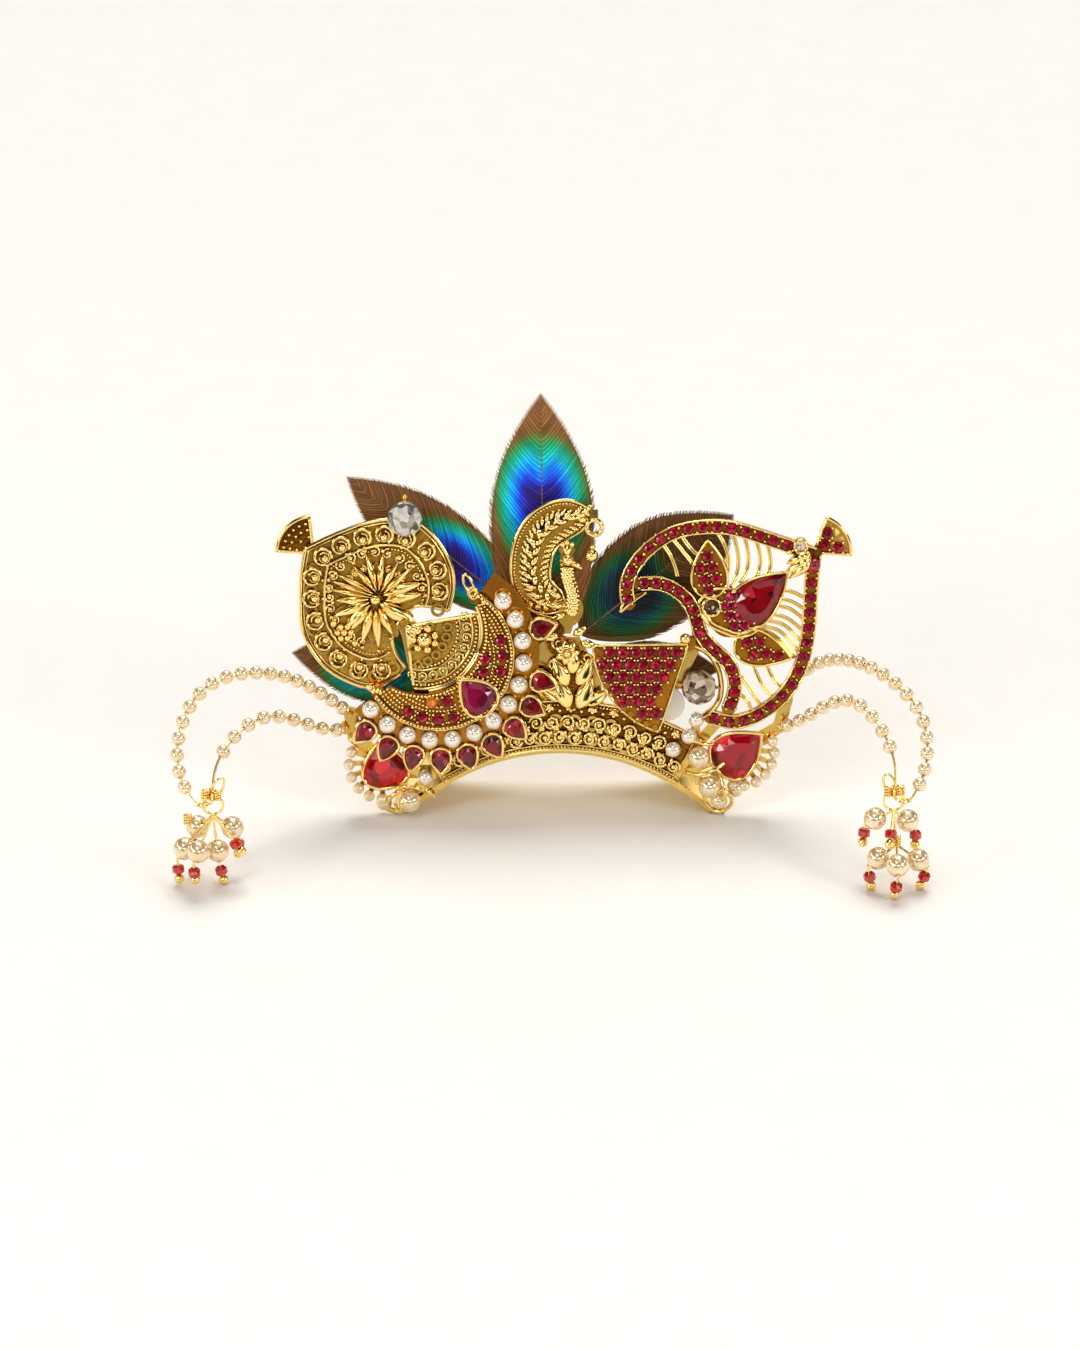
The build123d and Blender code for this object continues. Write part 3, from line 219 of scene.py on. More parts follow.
def brilliants(spots, radius, level, sides=8):
    """Round cut stones: a girdle, a crown whose corners lie half a side round, and a flat table."""
    spots = np.atleast_2d(np.asarray(spots, float))
    reach = radius * np.array((0.0, 0.9, 1.0, 1.0, 0.86, 0.56, 0.0))[:, None]
    height = level + radius * np.array((-0.35, -0.35, -0.1, 0.16, 0.42, 0.58, 0.58))[:, None]
    shift = np.array((0, 0, 0, 0, 0.5, 0, 0))[:, None]
    turn = TAU * (np.arange(sides) + shift) / sides
    unit = np.stack((reach * np.cos(turn), reach * np.sin(turn), height + 0 * turn), -1)
    return np.concatenate((spots, np.zeros((len(spots), 1))), -1)[:, None, None, :] + unit


def cut_pear(length, width, spot, degrees, level, rise):
    """A pear-shaped cut stone: its outline drawn in to a crown ring half a step round, then a flat table."""
    rings = []
    for scale, share, step in ((0, -0.3, 0), (1, -0.1, 0), (1, 0.15, 0),
                               (0.84, 0.55, 0.5), (0.56, 1, 0), (0, 1, 0)):
        shape = scale * pear(length, width, 14, step)
        rings.append(lifted(turned(shape, spot, degrees)[0], level + share * rise))
    return np.stack(rings)


def scrolls(spots, degrees, size, thick, coils=1.4, hand=1.0, shrink=0.8, count=18):
    """Flat spirals of round wire: the radius shrinks evenly with the angle, and the wire tapers with it."""
    spots = np.atleast_2d(np.asarray(spots, float))
    number = len(spots)
    share = np.linspace(0, 1, count)
    size, hand = (np.broadcast_to(v, number)[:, None] for v in (size, hand))
    angle = np.radians(np.broadcast_to(degrees, number))[:, None] + hand * coils * TAU * share
    radius = size * (1 - shrink * share)
    rise = 0.15 * size * share
    turning = np.stack((radius * np.cos(angle), radius * np.sin(angle), rise + 0 * angle), -1)
    path = spots[:, None, :] + turning
    return tube(path, thick * (1 - 0.35 * share) + 0 * angle, sides=5)


def skin(points, closed=False, to_frame=placed):
    """The four-sided faces of a lattice, joined round its columns and, if closed, round its rows too."""
    rows, columns = points.shape[-3:-1]
    index = np.arange(points.size // 3).reshape(-1, rows, columns)
    index = np.concatenate((index, index[:, :, :1]), 2)
    if closed:
        index = np.concatenate((index, index[:, :1]), 1)
    faces = np.stack((index[:, :-1, :-1], index[:, :-1, 1:], index[:, 1:, 1:], index[:, 1:, :-1]), -1)
    return to_frame(points.reshape(-1, 3)), faces.reshape(-1, 4)


def wire(path, level, radius, sides=6, closed=False):
    """A round wire on a flat path at a level."""
    return skin(tube(lifted(path, level), radius, sides, closed=closed), closed)


def beads(spots, level, radius, bands=4, sides=8):
    """Balls at flat spots and a level."""
    return skin(balls(lifted(spots, level), radius, bands, sides))


def leafage(spots, level, *form, **details):
    """Leaves at flat spots and a level."""
    return skin(leaves(lifted(spots, level), *form, **details))


def curls(spots, level, *form):
    """Scrolls at flat spots and a level."""
    return skin(scrolls(lifted(spots, level), *form))


def piece(name, skins, finish, stands_for=(), shaded=True, marks=None):
    """One mesh object of several skins, welded at its poles, faces outwards, riding on the crown."""
    starts = np.cumsum([0] + [len(points) for points, faces in skins[:-1]])
    points = np.concatenate([points for points, faces in skins])
    faces = np.concatenate([faces + start for (_, faces), start in zip(skins, starts)])
    mesh = bpy.data.meshes.new(name)
    mesh.vertices.add(len(points))
    mesh.vertices.foreach_set("co", points.astype(np.float32).ravel())
    mesh.loops.add(faces.size)
    mesh.loops.foreach_set("vertex_index", faces.astype(np.int32).ravel())
    mesh.polygons.add(len(faces))
    mesh.polygons.foreach_set("loop_start", np.arange(0, faces.size, 4, dtype=np.int32))
    mesh.update(calc_edges=True)
    if marks is not None:
        layer = mesh.attributes.new("vane", "FLOAT_VECTOR", "POINT")
        layer.data.foreach_set("vector", marks.astype(np.float32).ravel())
    welded = bmesh.new()
    welded.from_mesh(mesh)
    bmesh.ops.remove_doubles(welded, verts=welded.verts, dist=1e-7)
    bmesh.ops.recalc_face_normals(welded, faces=welded.faces)
    welded.to_mesh(mesh)
    welded.free()
    mesh.polygons.foreach_set("use_smooth", np.full(len(mesh.polygons), shaded))
    mesh.materials.append(finish)
    made = bpy.data.objects.new(name, mesh)
    bpy.context.scene.collection.objects.link(made)
    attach(made, "root")
    if stands_for:
        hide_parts(*stands_for)
    return made


# Finishes
def node(tree, kind, inputs=None, **settings):
    """A shader node with its settings, and inputs given as values or as other nodes' outputs."""
    made = tree.nodes.new("ShaderNode" + kind)
    for key, value in settings.items():
        setattr(made, key, value)
    for socket, value in (inputs or {}).items():
        if isinstance(value, bpy.types.NodeSocket):
            tree.links.new(value, made.inputs[socket])
        else:
            made.inputs[socket].default_value = value
    return made


def ramp(tree, factor, stops):
    """Colours between stops of a factor."""
    made = node(tree, "ValToRGB", {"Fac": factor})
    elements = made.color_ramp.elements
    while len(elements) < len(stops):
        elements.new(0.5)
    for element, (place, colour) in zip(elements, stops):
        element.position = place
        element.color = (*colour, 1.0)
    return made.outputs["Color"]


def own_place(tree):
    """Where each point lies on the object."""
    return node(tree, "TexCoord").outputs["Object"]


def noise(tree, place, scale, detail, **more):
    """Soft clouds from 0 to 1."""
    return node(tree, "TexNoise", {"Vector": place, "Scale": scale, "Detail": detail, **more}).outputs["Fac"]


def ranged(tree, value, low, high):
    """A value from 0 to 1 stretched between two ends."""
    return node(tree, "MapRange", {"Value": value, "To Min": low, "To Max": high}).outputs["Result"]


def finish(name, **sockets):
    """A new material, its node tree and its shader, with the sockets that are the same all over."""
    material = bpy.data.materials.new(name)
    material.use_nodes = True
    shader = material.node_tree.nodes["Principled BSDF"]
    for socket, value in sockets.items():
        shader.inputs[socket.replace("_", " ")].default_value = value
    return material, material.node_tree, shader


def wired(tree, shader, **sockets):
    """Outputs joined to the shader's inputs."""
    for socket, output in sockets.items():
        tree.links.new(output, shader.inputs[socket.replace("_", " ")])


def bumped(tree, height, strength, distance):
    """The normal of a bumpy surface."""
    sizes = {"Height": height, "Strength": strength, "Distance": distance}
    return node(tree, "Bump", sizes).outputs["Normal"]


def gold_finish(name, bright, mid, deep, hollows, smoothness, grain, strength, pitted=False):
    """Gold with painted shade: its colour runs from deep through mid to bright as ambient occlusion opens out
    from recesses; its cast surface varies in grain and gloss from place to place.
    """
    material, tree, shader = finish(name, Metallic=1.0)
    place = own_place(tree)
    hollow_shade = node(tree, "AmbientOcclusion", {"Distance": 1.6 * MM}, samples=8).outputs["AO"]
    patches = noise(tree, place, 160.0, 3.0)
    cast = noise(tree, place, grain, 4.0, Roughness=0.6)
    if pitted:
        pits = node(tree, "TexVoronoi", {"Vector": place, "Scale": 1100.0}, feature="SMOOTH_F1")
        pitting = node(tree, "Math", {0: cast, 1: pits.outputs["Distance"]}, operation="SUBTRACT")
        cast = pitting.outputs["Value"]
    # painted shade: the colour is deep where ambient occlusion finds recesses and bright on open surfaces
    tone = ramp(tree, hollow_shade, tuple(zip(hollows, (deep, mid, bright))))
    wear = ranged(tree, patches, 0.0, 0.35)
    worn = node(tree, "MixRGB", {"Fac": wear, "Color1": tone, "Color2": (*mid, 1.0)})
    wired(tree, shader, Base_Color=worn.outputs["Color"],
          Roughness=ranged(tree, patches, smoothness, smoothness + 0.12),
          Normal=bumped(tree, cast, strength, 0.12 * MM))
    return material


# Ambient occlusion levels at which each gold's painted shade reaches its deep, mid and bright colour
OPEN_HOLLOWS = (0.0, 0.28, 0.62)
DEEP_HOLLOWS = (0.28, 0.56, 0.88)
RELIEF_HOLLOWS = (0.24, 0.46, 0.74)
# Each gold's deep colour is painted shade in its recesses, and its mid colour is partly painted shade too
gold = gold_finish("polished_gold", (1.0, 0.79, 0.30), (1.0, 0.58, 0.10), (0.34, 0.10, 0.008), OPEN_HOLLOWS,
                   0.05, 900, 0.05)
relief_gold = gold_finish("relief_gold", (1.0, 0.83, 0.36), (1.0, 0.57, 0.09), (0.08, 0.020, 0.002),
                          RELIEF_HOLLOWS, 0.05, 1300, 0.06)
field_gold = gold_finish("field_gold", (1.0, 0.66, 0.13), (0.56, 0.25, 0.020), (0.03, 0.008, 0.001),
                         DEEP_HOLLOWS, 0.08, 1500, 0.12)
back_gold = gold_finish("brushed_gold", (1.0, 0.72, 0.19), (0.64, 0.30, 0.035), (0.05, 0.014, 0.001),
                        DEEP_HOLLOWS, 0.09, 2600, 0.08)
# A darker orange gold for the frame, fan and crescent fields: its darkness is painted shade in the gaps
# between stones and beads
frame_shade_gold = gold_finish("frame_field_shade_gold", (0.70, 0.30, 0.03), (0.34, 0.12, 0.010), (0.06, 0.014, 0.001),
                         DEEP_HOLLOWS, 0.10, 1100, 0.06)
dark_gold = gold_finish("dark_field_gold", (0.30, 0.12, 0.010), (0.13, 0.05, 0.005), (0.03, 0.010, 0.001),
                        DEEP_HOLLOWS, 0.14, 1500, 0.4, True)


def stone_finish(name, dark, mid, light, cell, painted_glow):
    """Cut stone: cells of flat colour under a hard clear surface. The middle tone is the stone's own, and the
    dark and light cells are painted reflections of the facets seen through the crown. The same colour is
    emitted faintly as painted light.
    """
    material, tree, shader = finish(name, Roughness=0.05, IOR=1.55, Coat_Weight=0.15, Coat_Roughness=0.02,
                                    Specular_IOR_Level=0.45)
    place = own_place(tree)
    facets = node(tree, "TexVoronoi", {"Vector": place, "Scale": cell, "Randomness": 0.9}).outputs["Color"]
    value = node(tree, "SeparateColor", {"Color": facets}).outputs["Red"]
    tone = ramp(tree, value, ((0.0, dark), (0.45, mid), (0.8, mid), (1.0, light)))
    tilt = node(tree, "SeparateColor", {"Color": facets}).outputs["Green"]
    # the cell colour is also emitted: a painted glow
    wired(tree, shader, Base_Color=tone, Emission_Color=tone, Normal=bumped(tree, tilt, 0.25, 0.15 * MM))
    shader.inputs["Emission Strength"].default_value = painted_glow
    return material


# Each stone: dark, middle and light tone, the dark and light ones painted facet reflections, cells a metre,
# and a faint painted glow
STONES = (
    ("ruby", (0.06, 0.0, 0.004), (0.25, 0.0, 0.014), (0.70, 0.03, 0.07), 1300.0, 0.03),
    ("pink_ruby", (0.07, 0.0, 0.010), (0.27, 0.0, 0.030), (0.80, 0.09, 0.18), 1200.0, 0.04),
    ("large_ruby", (0.14, 0.0, 0.002), (0.48, 0.0, 0.008), (0.80, 0.02, 0.03), 300.0, 0.05),
    ("end_ruby", (0.10, 0.0, 0.003), (0.36, 0.0, 0.010), (0.75, 0.03, 0.05), 300.0, 0.04),
    ("bud_ruby", (0.05, 0.0, 0.003), (0.25, 0.0, 0.008), (0.60, 0.04, 0.05), 300.0, 0.03),
    ("plum_ruby", (0.06, 0.0, 0.012), (0.24, 0.0, 0.045), (0.55, 0.02, 0.14), 330.0, 0.04),
    ("drop_ruby", (0.04, 0.0, 0.002), (0.20, 0.0, 0.007), (0.60, 0.03, 0.05), 600.0, 0.03),
    ("pale_stone", (0.30, 0.22, 0.20), (0.75, 0.66, 0.62), (1.0, 0.96, 0.94), 1400.0, 0.05),
    ("dark_stone", (0.01, 0.006, 0.006), (0.10, 0.05, 0.03), (0.9, 0.75, 0.6), 900.0, 0.02),
    ("orange_stone", (0.35, 0.05, 0.0), (0.75, 0.16, 0.005), (0.95, 0.42, 0.06), 1300.0, 0.04),
)
(ruby, pink_ruby, large_ruby, end_ruby, bud_ruby, plum_ruby, drop_ruby,
 pale_stone, dark_stone, orange_stone) = (stone_finish(*stone) for stone in STONES)


def pearl_finish(name, light, warm):
    """Pearl: two close tones in soft clouds, a little metallic under a clear skin, with some light inside."""
    material, tree, shader = finish(name, Metallic=0.45, IOR=2.0, Specular_IOR_Level=0.8, Coat_Weight=1.0,
                                    Coat_Roughness=0.05, Subsurface_Weight=0.1, Subsurface_Scale=0.8 * MM)
    place = own_place(tree)
    clouds = noise(tree, place, 260.0, 2.0)
    fine = noise(tree, place, 2600.0, 2.0)
    wired(tree, shader, Base_Color=ramp(tree, clouds, ((0.3, light), (0.72, warm))),
          Roughness=ranged(tree, clouds, 0.10, 0.22), Normal=bumped(tree, fine, 0.03, 0.05 * MM))
    return material


string_pearl = pearl_finish("champagne_pearl", (0.95, 0.80, 0.54), (0.86, 0.64, 0.34))
white_pearl = pearl_finish("white_pearl", (0.97, 0.92, 0.84), (0.90, 0.80, 0.66))

red_bead, tree, shader = finish("red_glass_bead", Roughness=0.08, IOR=1.6, Coat_Weight=0.6)
clouds = noise(tree, own_place(tree), 500.0, 2.0)
wired(tree, shader, Base_Color=ramp(tree, clouds, ((0.3, (0.40, 0.004, 0.004)), (0.7, (0.62, 0.02, 0.008)))))


def crystal_finish(name, dark, middle, light):
    """Cut crystal: small cells of dark, middle and light tone, painted reflections of the facets seen through
    a clear bead.
    """
    material, tree, shader = finish(name, IOR=1.6, Transmission_Weight=0.35, Coat_Weight=1.0,
                                    Coat_Roughness=0.01)
    place = own_place(tree)
    # dark and light cells: painted facet reflections
    cells = node(tree, "TexVoronoi", {"Vector": place, "Scale": 520.0}).outputs["Color"]
    value = node(tree, "SeparateColor", {"Color": cells}).outputs["Red"]
    wired(tree, shader, Base_Color=ramp(tree, value, ((0.15, dark), (0.5, middle), (0.8, light))),
          Roughness=ranged(tree, value, 0.02, 0.12))
    return material


crystals = {
    "left_crystal": crystal_finish("clear_crystal", (0.16, 0.15, 0.13), (0.72, 0.71, 0.68), (1, 1, 1)),
    "right_crystal": crystal_finish("warm_crystal", (0.1, 0.05, 0.02), (0.42, 0.30, 0.17), (0.95, 0.86, 0.7)),
}

BRIGHT_RINGS = ((0.0, (0.012, 0.006, 0.13)), (0.30, (0.018, 0.008, 0.26)), (0.39, (0.006, 0.035, 0.60)),
                (0.48, (0.0, 0.17, 0.88)), (0.57, (0.0, 0.34, 0.66)), (0.66, (0.0, 0.38, 0.32)),
                (0.75, (0.006, 0.26, 0.11)), (0.82, (0.07, 0.15, 0.025)), (0.87, (0.15, 0.080, 0.014)),
                (0.94, (0.17, 0.068, 0.016)), (1.0, (0.19, 0.082, 0.022)))
DUSKY_RINGS = ((0.0, (0.004, 0.006, 0.014)), (0.36, (0.004, 0.010, 0.03)), (0.45, (0.0, 0.03, 0.06)),
               (0.54, (0.0, 0.08, 0.07)), (0.62, (0.0, 0.11, 0.04)), (0.70, (0.04, 0.09, 0.016)),
               (0.78, (0.09, 0.060, 0.010)), (0.88, (0.13, 0.056, 0.013)), (1.0, (0.16, 0.070, 0.018)))


def feather_finish(name, colours):
    """Peacock vane: rings of colour by the distance from the eye, each barb a little lighter or darker."""
    material, tree, shader = finish(name, Specular_IOR_Level=0.4)
    mark = node(tree, "Attribute", attribute_name="vane").outputs["Vector"]
    parts = node(tree, "SeparateXYZ", {"Vector": mark})
    flutter = noise(tree, mark, 9.0, 3.0)
    distance = node(tree, "Math", {0: parts.outputs["X"], 1: ranged(tree, flutter, -0.05, 0.05)},
                    operation="ADD")
    barbed = node(tree, "Math", {0: parts.outputs["Z"], 1: 0.05, 2: distance.outputs["Value"]},
                  operation="MULTIPLY_ADD")
    rings = ramp(tree, barbed.outputs["Value"], colours)
    light = ranged(tree, parts.outputs["Z"], 0.10, 2.5)
    tone = node(tree, "VectorMath", {0: rings, "Scale": light}, operation="SCALE").outputs["Vector"]
    wired(tree, shader, Base_Color=tone, Roughness=ranged(tree, flutter, 0.32, 0.55))
    return material


vane_finishes = {False: feather_finish("peacock_vane", BRIGHT_RINGS),
                 True: feather_finish("dusky_vane", DUSKY_RINGS)}
shaft, tree, shader = finish("feather_shaft", Roughness=0.5)
grain = noise(tree, own_place(tree), 900.0, 3.0)
wired(tree, shader, Base_Color=ramp(tree, grain, ((0.3, (0.10, 0.05, 0.02)), (0.7, (0.30, 0.18, 0.09)))))


def dress(material, *names):
    """Give carried-over pieces their finish."""
    for name in names:
        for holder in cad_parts[name].material_slots:
            holder.material = material


dress(back_gold, "base_band", "left_small_fan", "right_small_fan", "left_end_setting", "right_end_setting")
dress(field_gold, "left_leaf_plate", "left_tail_fan", "peacock")
dress(dark_gold, "centre_leaves")
dress(frame_shade_gold, "right_tail_fan", "crescent_plate")
dress(gold, "tail_ring", "left_tassel_pins", "right_tassel_pins",
      "left_outer_wire", "left_inner_wire", "right_outer_wire", "right_inner_wire")
dress(pale_stone, "tip_stone")
dress(dark_stone, "eye_stone")
dress(string_pearl, "left_outer_pearls", "left_inner_pearls", "right_outer_pearls", "right_inner_pearls",
      "left_tassel_pearls", "right_tassel_pearls", "left_rim_pearls", "right_rim_pearls", "foot_pearls")
dress(white_pearl, "crescent_pearls", "band_pearls", "disc_bead")
dress(red_bead, "left_tassel_red_beads", "right_tassel_red_beads")
for name, material in crystals.items():
    dress(material, name)

# A whole round in even steps: first and last angle, and how many
ROUND = (0, 345, 24)

# Levels in front of the face, in millimetres
PLATE_LEVEL = -0.5
PLATE_TOP = 1.5
BODY_TOP = 2.2
WALL_TOP = 1.0
SMALL_FAN_TOP = -0.7
RIGHT_FAN_TOP = 3.7
LEFT_FAN_TOP = 4.4
CRESCENT_TOP = 6.6
DROP_TOP = 5.6
LEAF_TOP = 2.5

# The left leaf plate: rim wires, scrolls, bead lines, long veined leaves
LEFT_TOP = spread((-69.4, 59.1), 41.7, 26.2,
                  ((0, 0.68), (0.1, 0.76), (0.27, 0.88), (0.44, 0.97), (0.6, 1), (0.77, 0.95), (0.89, 0.77),
                   (0.97, 0.55), (1, 0.27), (0.96, 0)))
LEFT_BITE = spread((-45.1, 42.5), 15.7, 17.8,
                   ((1, 0.93), (0.68, 1), (0.41, 1), (0.14, 0.77), (0, 0.53), (0.05, 0.26), (0.23, 0)))
LEFT_SIDE = spread((-70.8, 37.0), 29.4, 39.9,
                   ((0.95, 0.1), (0.65, 0), (0.43, 0.05), (0.24, 0.14), (0.1, 0.27), (0.02, 0.41), (0, 0.63),
                    (0.01, 0.81), (0.05, 1)))
KNOT_AT = np.array((-49.8, 62.6))
top_line, bite_line, side_line = smooth(LEFT_TOP, 90), smooth(LEFT_BITE, 50), smooth(LEFT_SIDE, 90)
outline = np.concatenate((side_line, top_line[1:]))


def drawn_in(path, share):
    """A path drawn in towards the plate's knot by a share."""
    return share * path + (1 - share) * KNOT_AT


SCALLOPS = np.array(((-64.4, 74.6), (-59.4, 77.9), (-53.4, 80.2), (-47.2, 81.0), (-41.0, 79.9), (-35.5, 76.4),
                     (-32.3, 71.0), (-31.8, 64.9), (-67.4, 68.9), (-67.6, 62.6), (-66.7, 56.2), (-64.4, 50.3),
                     (-60.2, 45.4), (-54.4, 42.2), (-48.0, 42.0)))
scallop_turns = bearing(KNOT_AT - SCALLOPS)
scallop_inward = (KNOT_AT - SCALLOPS) / np.linalg.norm(KNOT_AT - SCALLOPS, axis=1, keepdims=True)
inner_line = drawn_in(outline, 0.68)
inner_line = inner_line[np.linalg.norm(inner_line - np.array((-40.0, 50.0)), axis=1) > 6.0]
# Each leaf of the plate: across, up, turn, length, width and bow
PLATE_LEAVES = np.array((
    (-48.2, 63.6, 22, 12.4, 3.4, -0.08), (-47.6, 62.4, 6, 11.6, 3.2, 0.06),
    (-49.0, 62.0, -34, 13.6, 4.6, 0.04), (-48.9, 60.6, -70, 9.6, 2.5, 0.10),
    (-49.8, 60.2, -86, 12.2, 2.6, 0.0), (-50.8, 60.4, -103, 11.6, 2.6, -0.05),
    (-51.6, 60.8, -121, 9.0, 2.5, -0.10), (-50.8, 61.6, 221, 11.4, 3.0, 0.06),
    (-50.8, 62.2, 203, 12.0, 3.0, 0.0), (-51.0, 62.9, 187, 10.4, 2.6, -0.06),
    (-50.0, 63.2, 170, 12.6, 1.7, 0.0), (-49.8, 63.6, 161, 13.4, 1.7, 0.0),
    (-49.6, 64.0, 152, 12.4, 1.7, 0.0), (-49.2, 64.4, 128, 10.4, 1.9, 0.06),
    (-49.2, 64.6, 106, 11.8, 1.9, 0.0), (-48.8, 64.6, 84, 11.4, 1.9, 0.0),
    (-48.4, 64.4, 62, 10.8, 1.9, -0.04), (-48.0, 64.0, 42, 11.6, 2.2, 0.0),
))
leaf_at = PLATE_LEAVES[:, :2]
leaf_turn, leaf_long, leaf_wide, leaf_bow = PLATE_LEAVES[:, 2:].T
leaf_tips = leaf_at + (leaf_long + 0.4)[:, None] * heading(leaf_turn)
plate_skins = [wire(line, PLATE_TOP + 0.1, 0.55, 8) for line in (top_line, bite_line, side_line)]
plate_skins += [
    wire(inner_line, PLATE_TOP + 0.4, 0.42),
    wire(drawn_in(outline, 0.955), PLATE_TOP + 0.15, 0.24),
    curls(SCALLOPS, PLATE_TOP + 0.7, scallop_turns + 32, 2.5, 0.5, 0.84, 1.0, 0.12),
    curls(SCALLOPS + 0.5 * scallop_inward, PLATE_TOP + 0.6, scallop_turns + 180, 1.6, 0.3, 0.9, -1.0, 0.2),
    beads(SCALLOPS + 0.8 * scallop_inward, PLATE_TOP + 0.7, 1.05, 8, 12),
    beads(SCALLOPS + 3.0 * scallop_inward, PLATE_TOP + 0.4, 0.5),
    beads(even(drawn_in(inner_line, 0.92), 0.95), PLATE_TOP + 0.15, 0.36),
    leafage(leaf_at, PLATE_TOP + 0.9, leaf_turn, leaf_long, leaf_wide, 1.5, 0.5, leaf_bow),
    leafage(leaf_at, PLATE_TOP + 1.5, leaf_turn, 0.7 * leaf_long, 0.4 * leaf_wide, 1.3, 0.0, leaf_bow),
    beads(leaf_tips, PLATE_TOP + 0.7, 0.62),
    beads(arc((-58.6, 53.0), 1.9, 0, 300, 6), PLATE_TOP + 0.8, 1.0, 6, 10),
    beads(((-58.6, 53.0), (-61.6, 55.6), (-55.6, 50.0)), PLATE_TOP + 0.9, 1.05, 6, 10),
    beads(KNOT_AT, PLATE_TOP + 1.8, 1.5, 8, 12),
]
curl_angles = np.linspace(14, 166, 11)
curl_spots = KNOT_AT + 13.4 * heading(curl_angles)
low_curl_angles = np.linspace(178, 252, 6)
low_curl_spots = KNOT_AT + 12.8 * heading(low_curl_angles)
mid_spots = KNOT_AT + 9.2 * heading(curl_angles[1:-1] + 6)
for spots, angles, size in ((curl_spots, curl_angles, 1.5), (low_curl_spots, low_curl_angles, 1.4),
                            (mid_spots, curl_angles[1:-1], 1.0)):
    hands = np.resize((1.0, -1.0), len(spots))
    plate_skins.append(curls(spots, PLATE_TOP + 0.5, angles, size, 0.36, 1.3, hands))
    plate_skins.append(beads(spots, PLATE_TOP + 0.7, 0.55))
piece("left_plate_relief", plate_skins, relief_gold)

# The left tail fan: bands that follow its round edge, and a flower of balls
FAN_ROUND = np.array((-36.7, 53.7))
LEFT_FAN_AT = np.array((-41.0, 55.2))


def fan_arc(radius, count):
    """An arc of the fan's round edge, ended where the fan's straight sides cut it."""
    inner = (16.6 - radius) / 5.6
    return arc(FAN_ROUND, radius, -98 - 8 * inner, 17.7 + 4 * inner, count)


fan_skins = [wire(fan_arc(radius, 40), LEFT_FAN_TOP + 0.15, thick)
             for radius, thick in ((16.4, 0.55), (14.2, 0.34), (11.0, 0.36))]
fan_skins += [beads(even(fan_arc(radius, 60), 1.12), LEFT_FAN_TOP + 0.25, 0.48) for radius in (15.3, 10.1)]
scallops = even(fan_arc(12.6, 60), 3.0)
scallop_angles = bearing(scallops - FAN_ROUND)
fan_sides = [np.linspace(LEFT_FAN_AT, fan_arc(16.4, 2)[end], 12) for end in (0, 1)]
fan_flower = np.array((-36.0, 51.6))
fan_skins += [
    curls(scallops, LEFT_FAN_TOP + 0.4, scallop_angles, 1.25, 0.34, 0.9, 1.0, 0.3),
    beads(scallops, LEFT_FAN_TOP + 0.3, 0.6),
    *(wire(side, LEFT_FAN_TOP + 0.15, 0.55) for side in fan_sides),
    beads(fan_flower, LEFT_FAN_TOP + 1.2, 2.1, 10, 16),
    beads(arc(fan_flower, 3.1, 20, 340, 7), LEFT_FAN_TOP + 0.5, 1.2, 8, 12),
    leafage(np.repeat(LEFT_FAN_AT[None], 4, 0), LEFT_FAN_TOP + 0.3, (-4, -28, -52, -76), 6.0, 1.9, 0.9),
]
piece("left_fan_relief", fan_skins, relief_gold)


def node_points(name):
    """The corners of a carried-over node's mesh, in metres."""
    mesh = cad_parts[name].data
    points = np.zeros(len(mesh.vertices) * 3, np.float32)
    mesh.vertices.foreach_get("co", points)
    return points.reshape(-1, 3)


def stone_middles(name, near):
    """The middle of each stone of a node, on the face: halfway between the ends of the small facet at its
    bottom, among the deepest points that lie close to the place where the stone is looked for."""
    points = node_points(name) / MM
    out = points[:, 2] * math.sin(LEAN) - points[:, 1] * math.cos(LEAN)
    up = points[:, 1] * math.sin(LEAN) + points[:, 2] * math.cos(LEAN)
    flat = np.stack((points[:, 0] + ARCH_X, up), -1)[out < out.min() + 0.1]
    near = np.atleast_2d(near)
    close = (np.linalg.norm(flat - near[:, None], axis=2) < 1.5)[..., None]
    low = np.where(close, flat, np.inf).min(1)
    high = np.where(close, flat, -np.inf).max(1)
    return np.where(np.isfinite(low), (low + high) / 2, near)


def cut_stones(name, spots, radius, level, look, stands_for):
    """Round cut stones in place of a node's."""
    piece(name, [skin(brilliants(spots, radius, level))], look, (stands_for,), False)


def prongs(spots, level, reach, size):
    """Four small beads round each stone, at even angles."""
    ring = reach * heading(45 + 90 * np.arange(4))
    return beads((spots[:, None, :] + ring).reshape(-1, 2), level, size)


# The crescent: rows of fine beads, bezels, finial and knot
CRESCENT_AT = np.array((-32.3, 47.2))
CRESCENT_R = 21.2
HOLLOW_R = 17.4
RIM_ENDS = (-146, 56)
PEAR_AT = CRESCENT_AT + 15.4 * heading(-46)
PEAR_TURN = 134
LEFT_END_AT, LEFT_END_TURN = (-47.6, 14.6), 100
RIGHT_END_AT, RIGHT_END_TURN = (52.6, 18.4), 38
END_LEVEL = 1.75
drop_angles = np.array([angle for angle in np.linspace(-133, 15, 11) if abs(angle) > 5])
drop_spots = CRESCENT_AT + 30.7 * heading(drop_angles)
crescent_places = CRESCENT_AT + np.concatenate((18.2 * heading((-118, -104, -90, -76, -14, 0, 14)),
                                                13.4 * heading((-79, -97, -3, -20))))
ORANGE = 8  # the one stone of the crescent that is an orange cabochon
crescent_stones = stone_middles("crescent_rubies", crescent_places)
bead_rows = [even(arc(CRESCENT_AT, radius, *RIM_ENDS, 200), 1.02) for radius in np.arange(19.4, 9.0, -1.16)]
field = np.concatenate(bead_rows)
field = field[np.linalg.norm(field - FAN_ROUND, axis=1) > HOLLOW_R + 1.3]
field = field[np.linalg.norm(field[:, None] - crescent_stones, axis=2).min(1) > 1.9]
field = field[np.linalg.norm(field - PEAR_AT, axis=1) > 6.4]
hollow_line = arc(FAN_ROUND, HOLLOW_R + 0.7, -117, 27, 160)
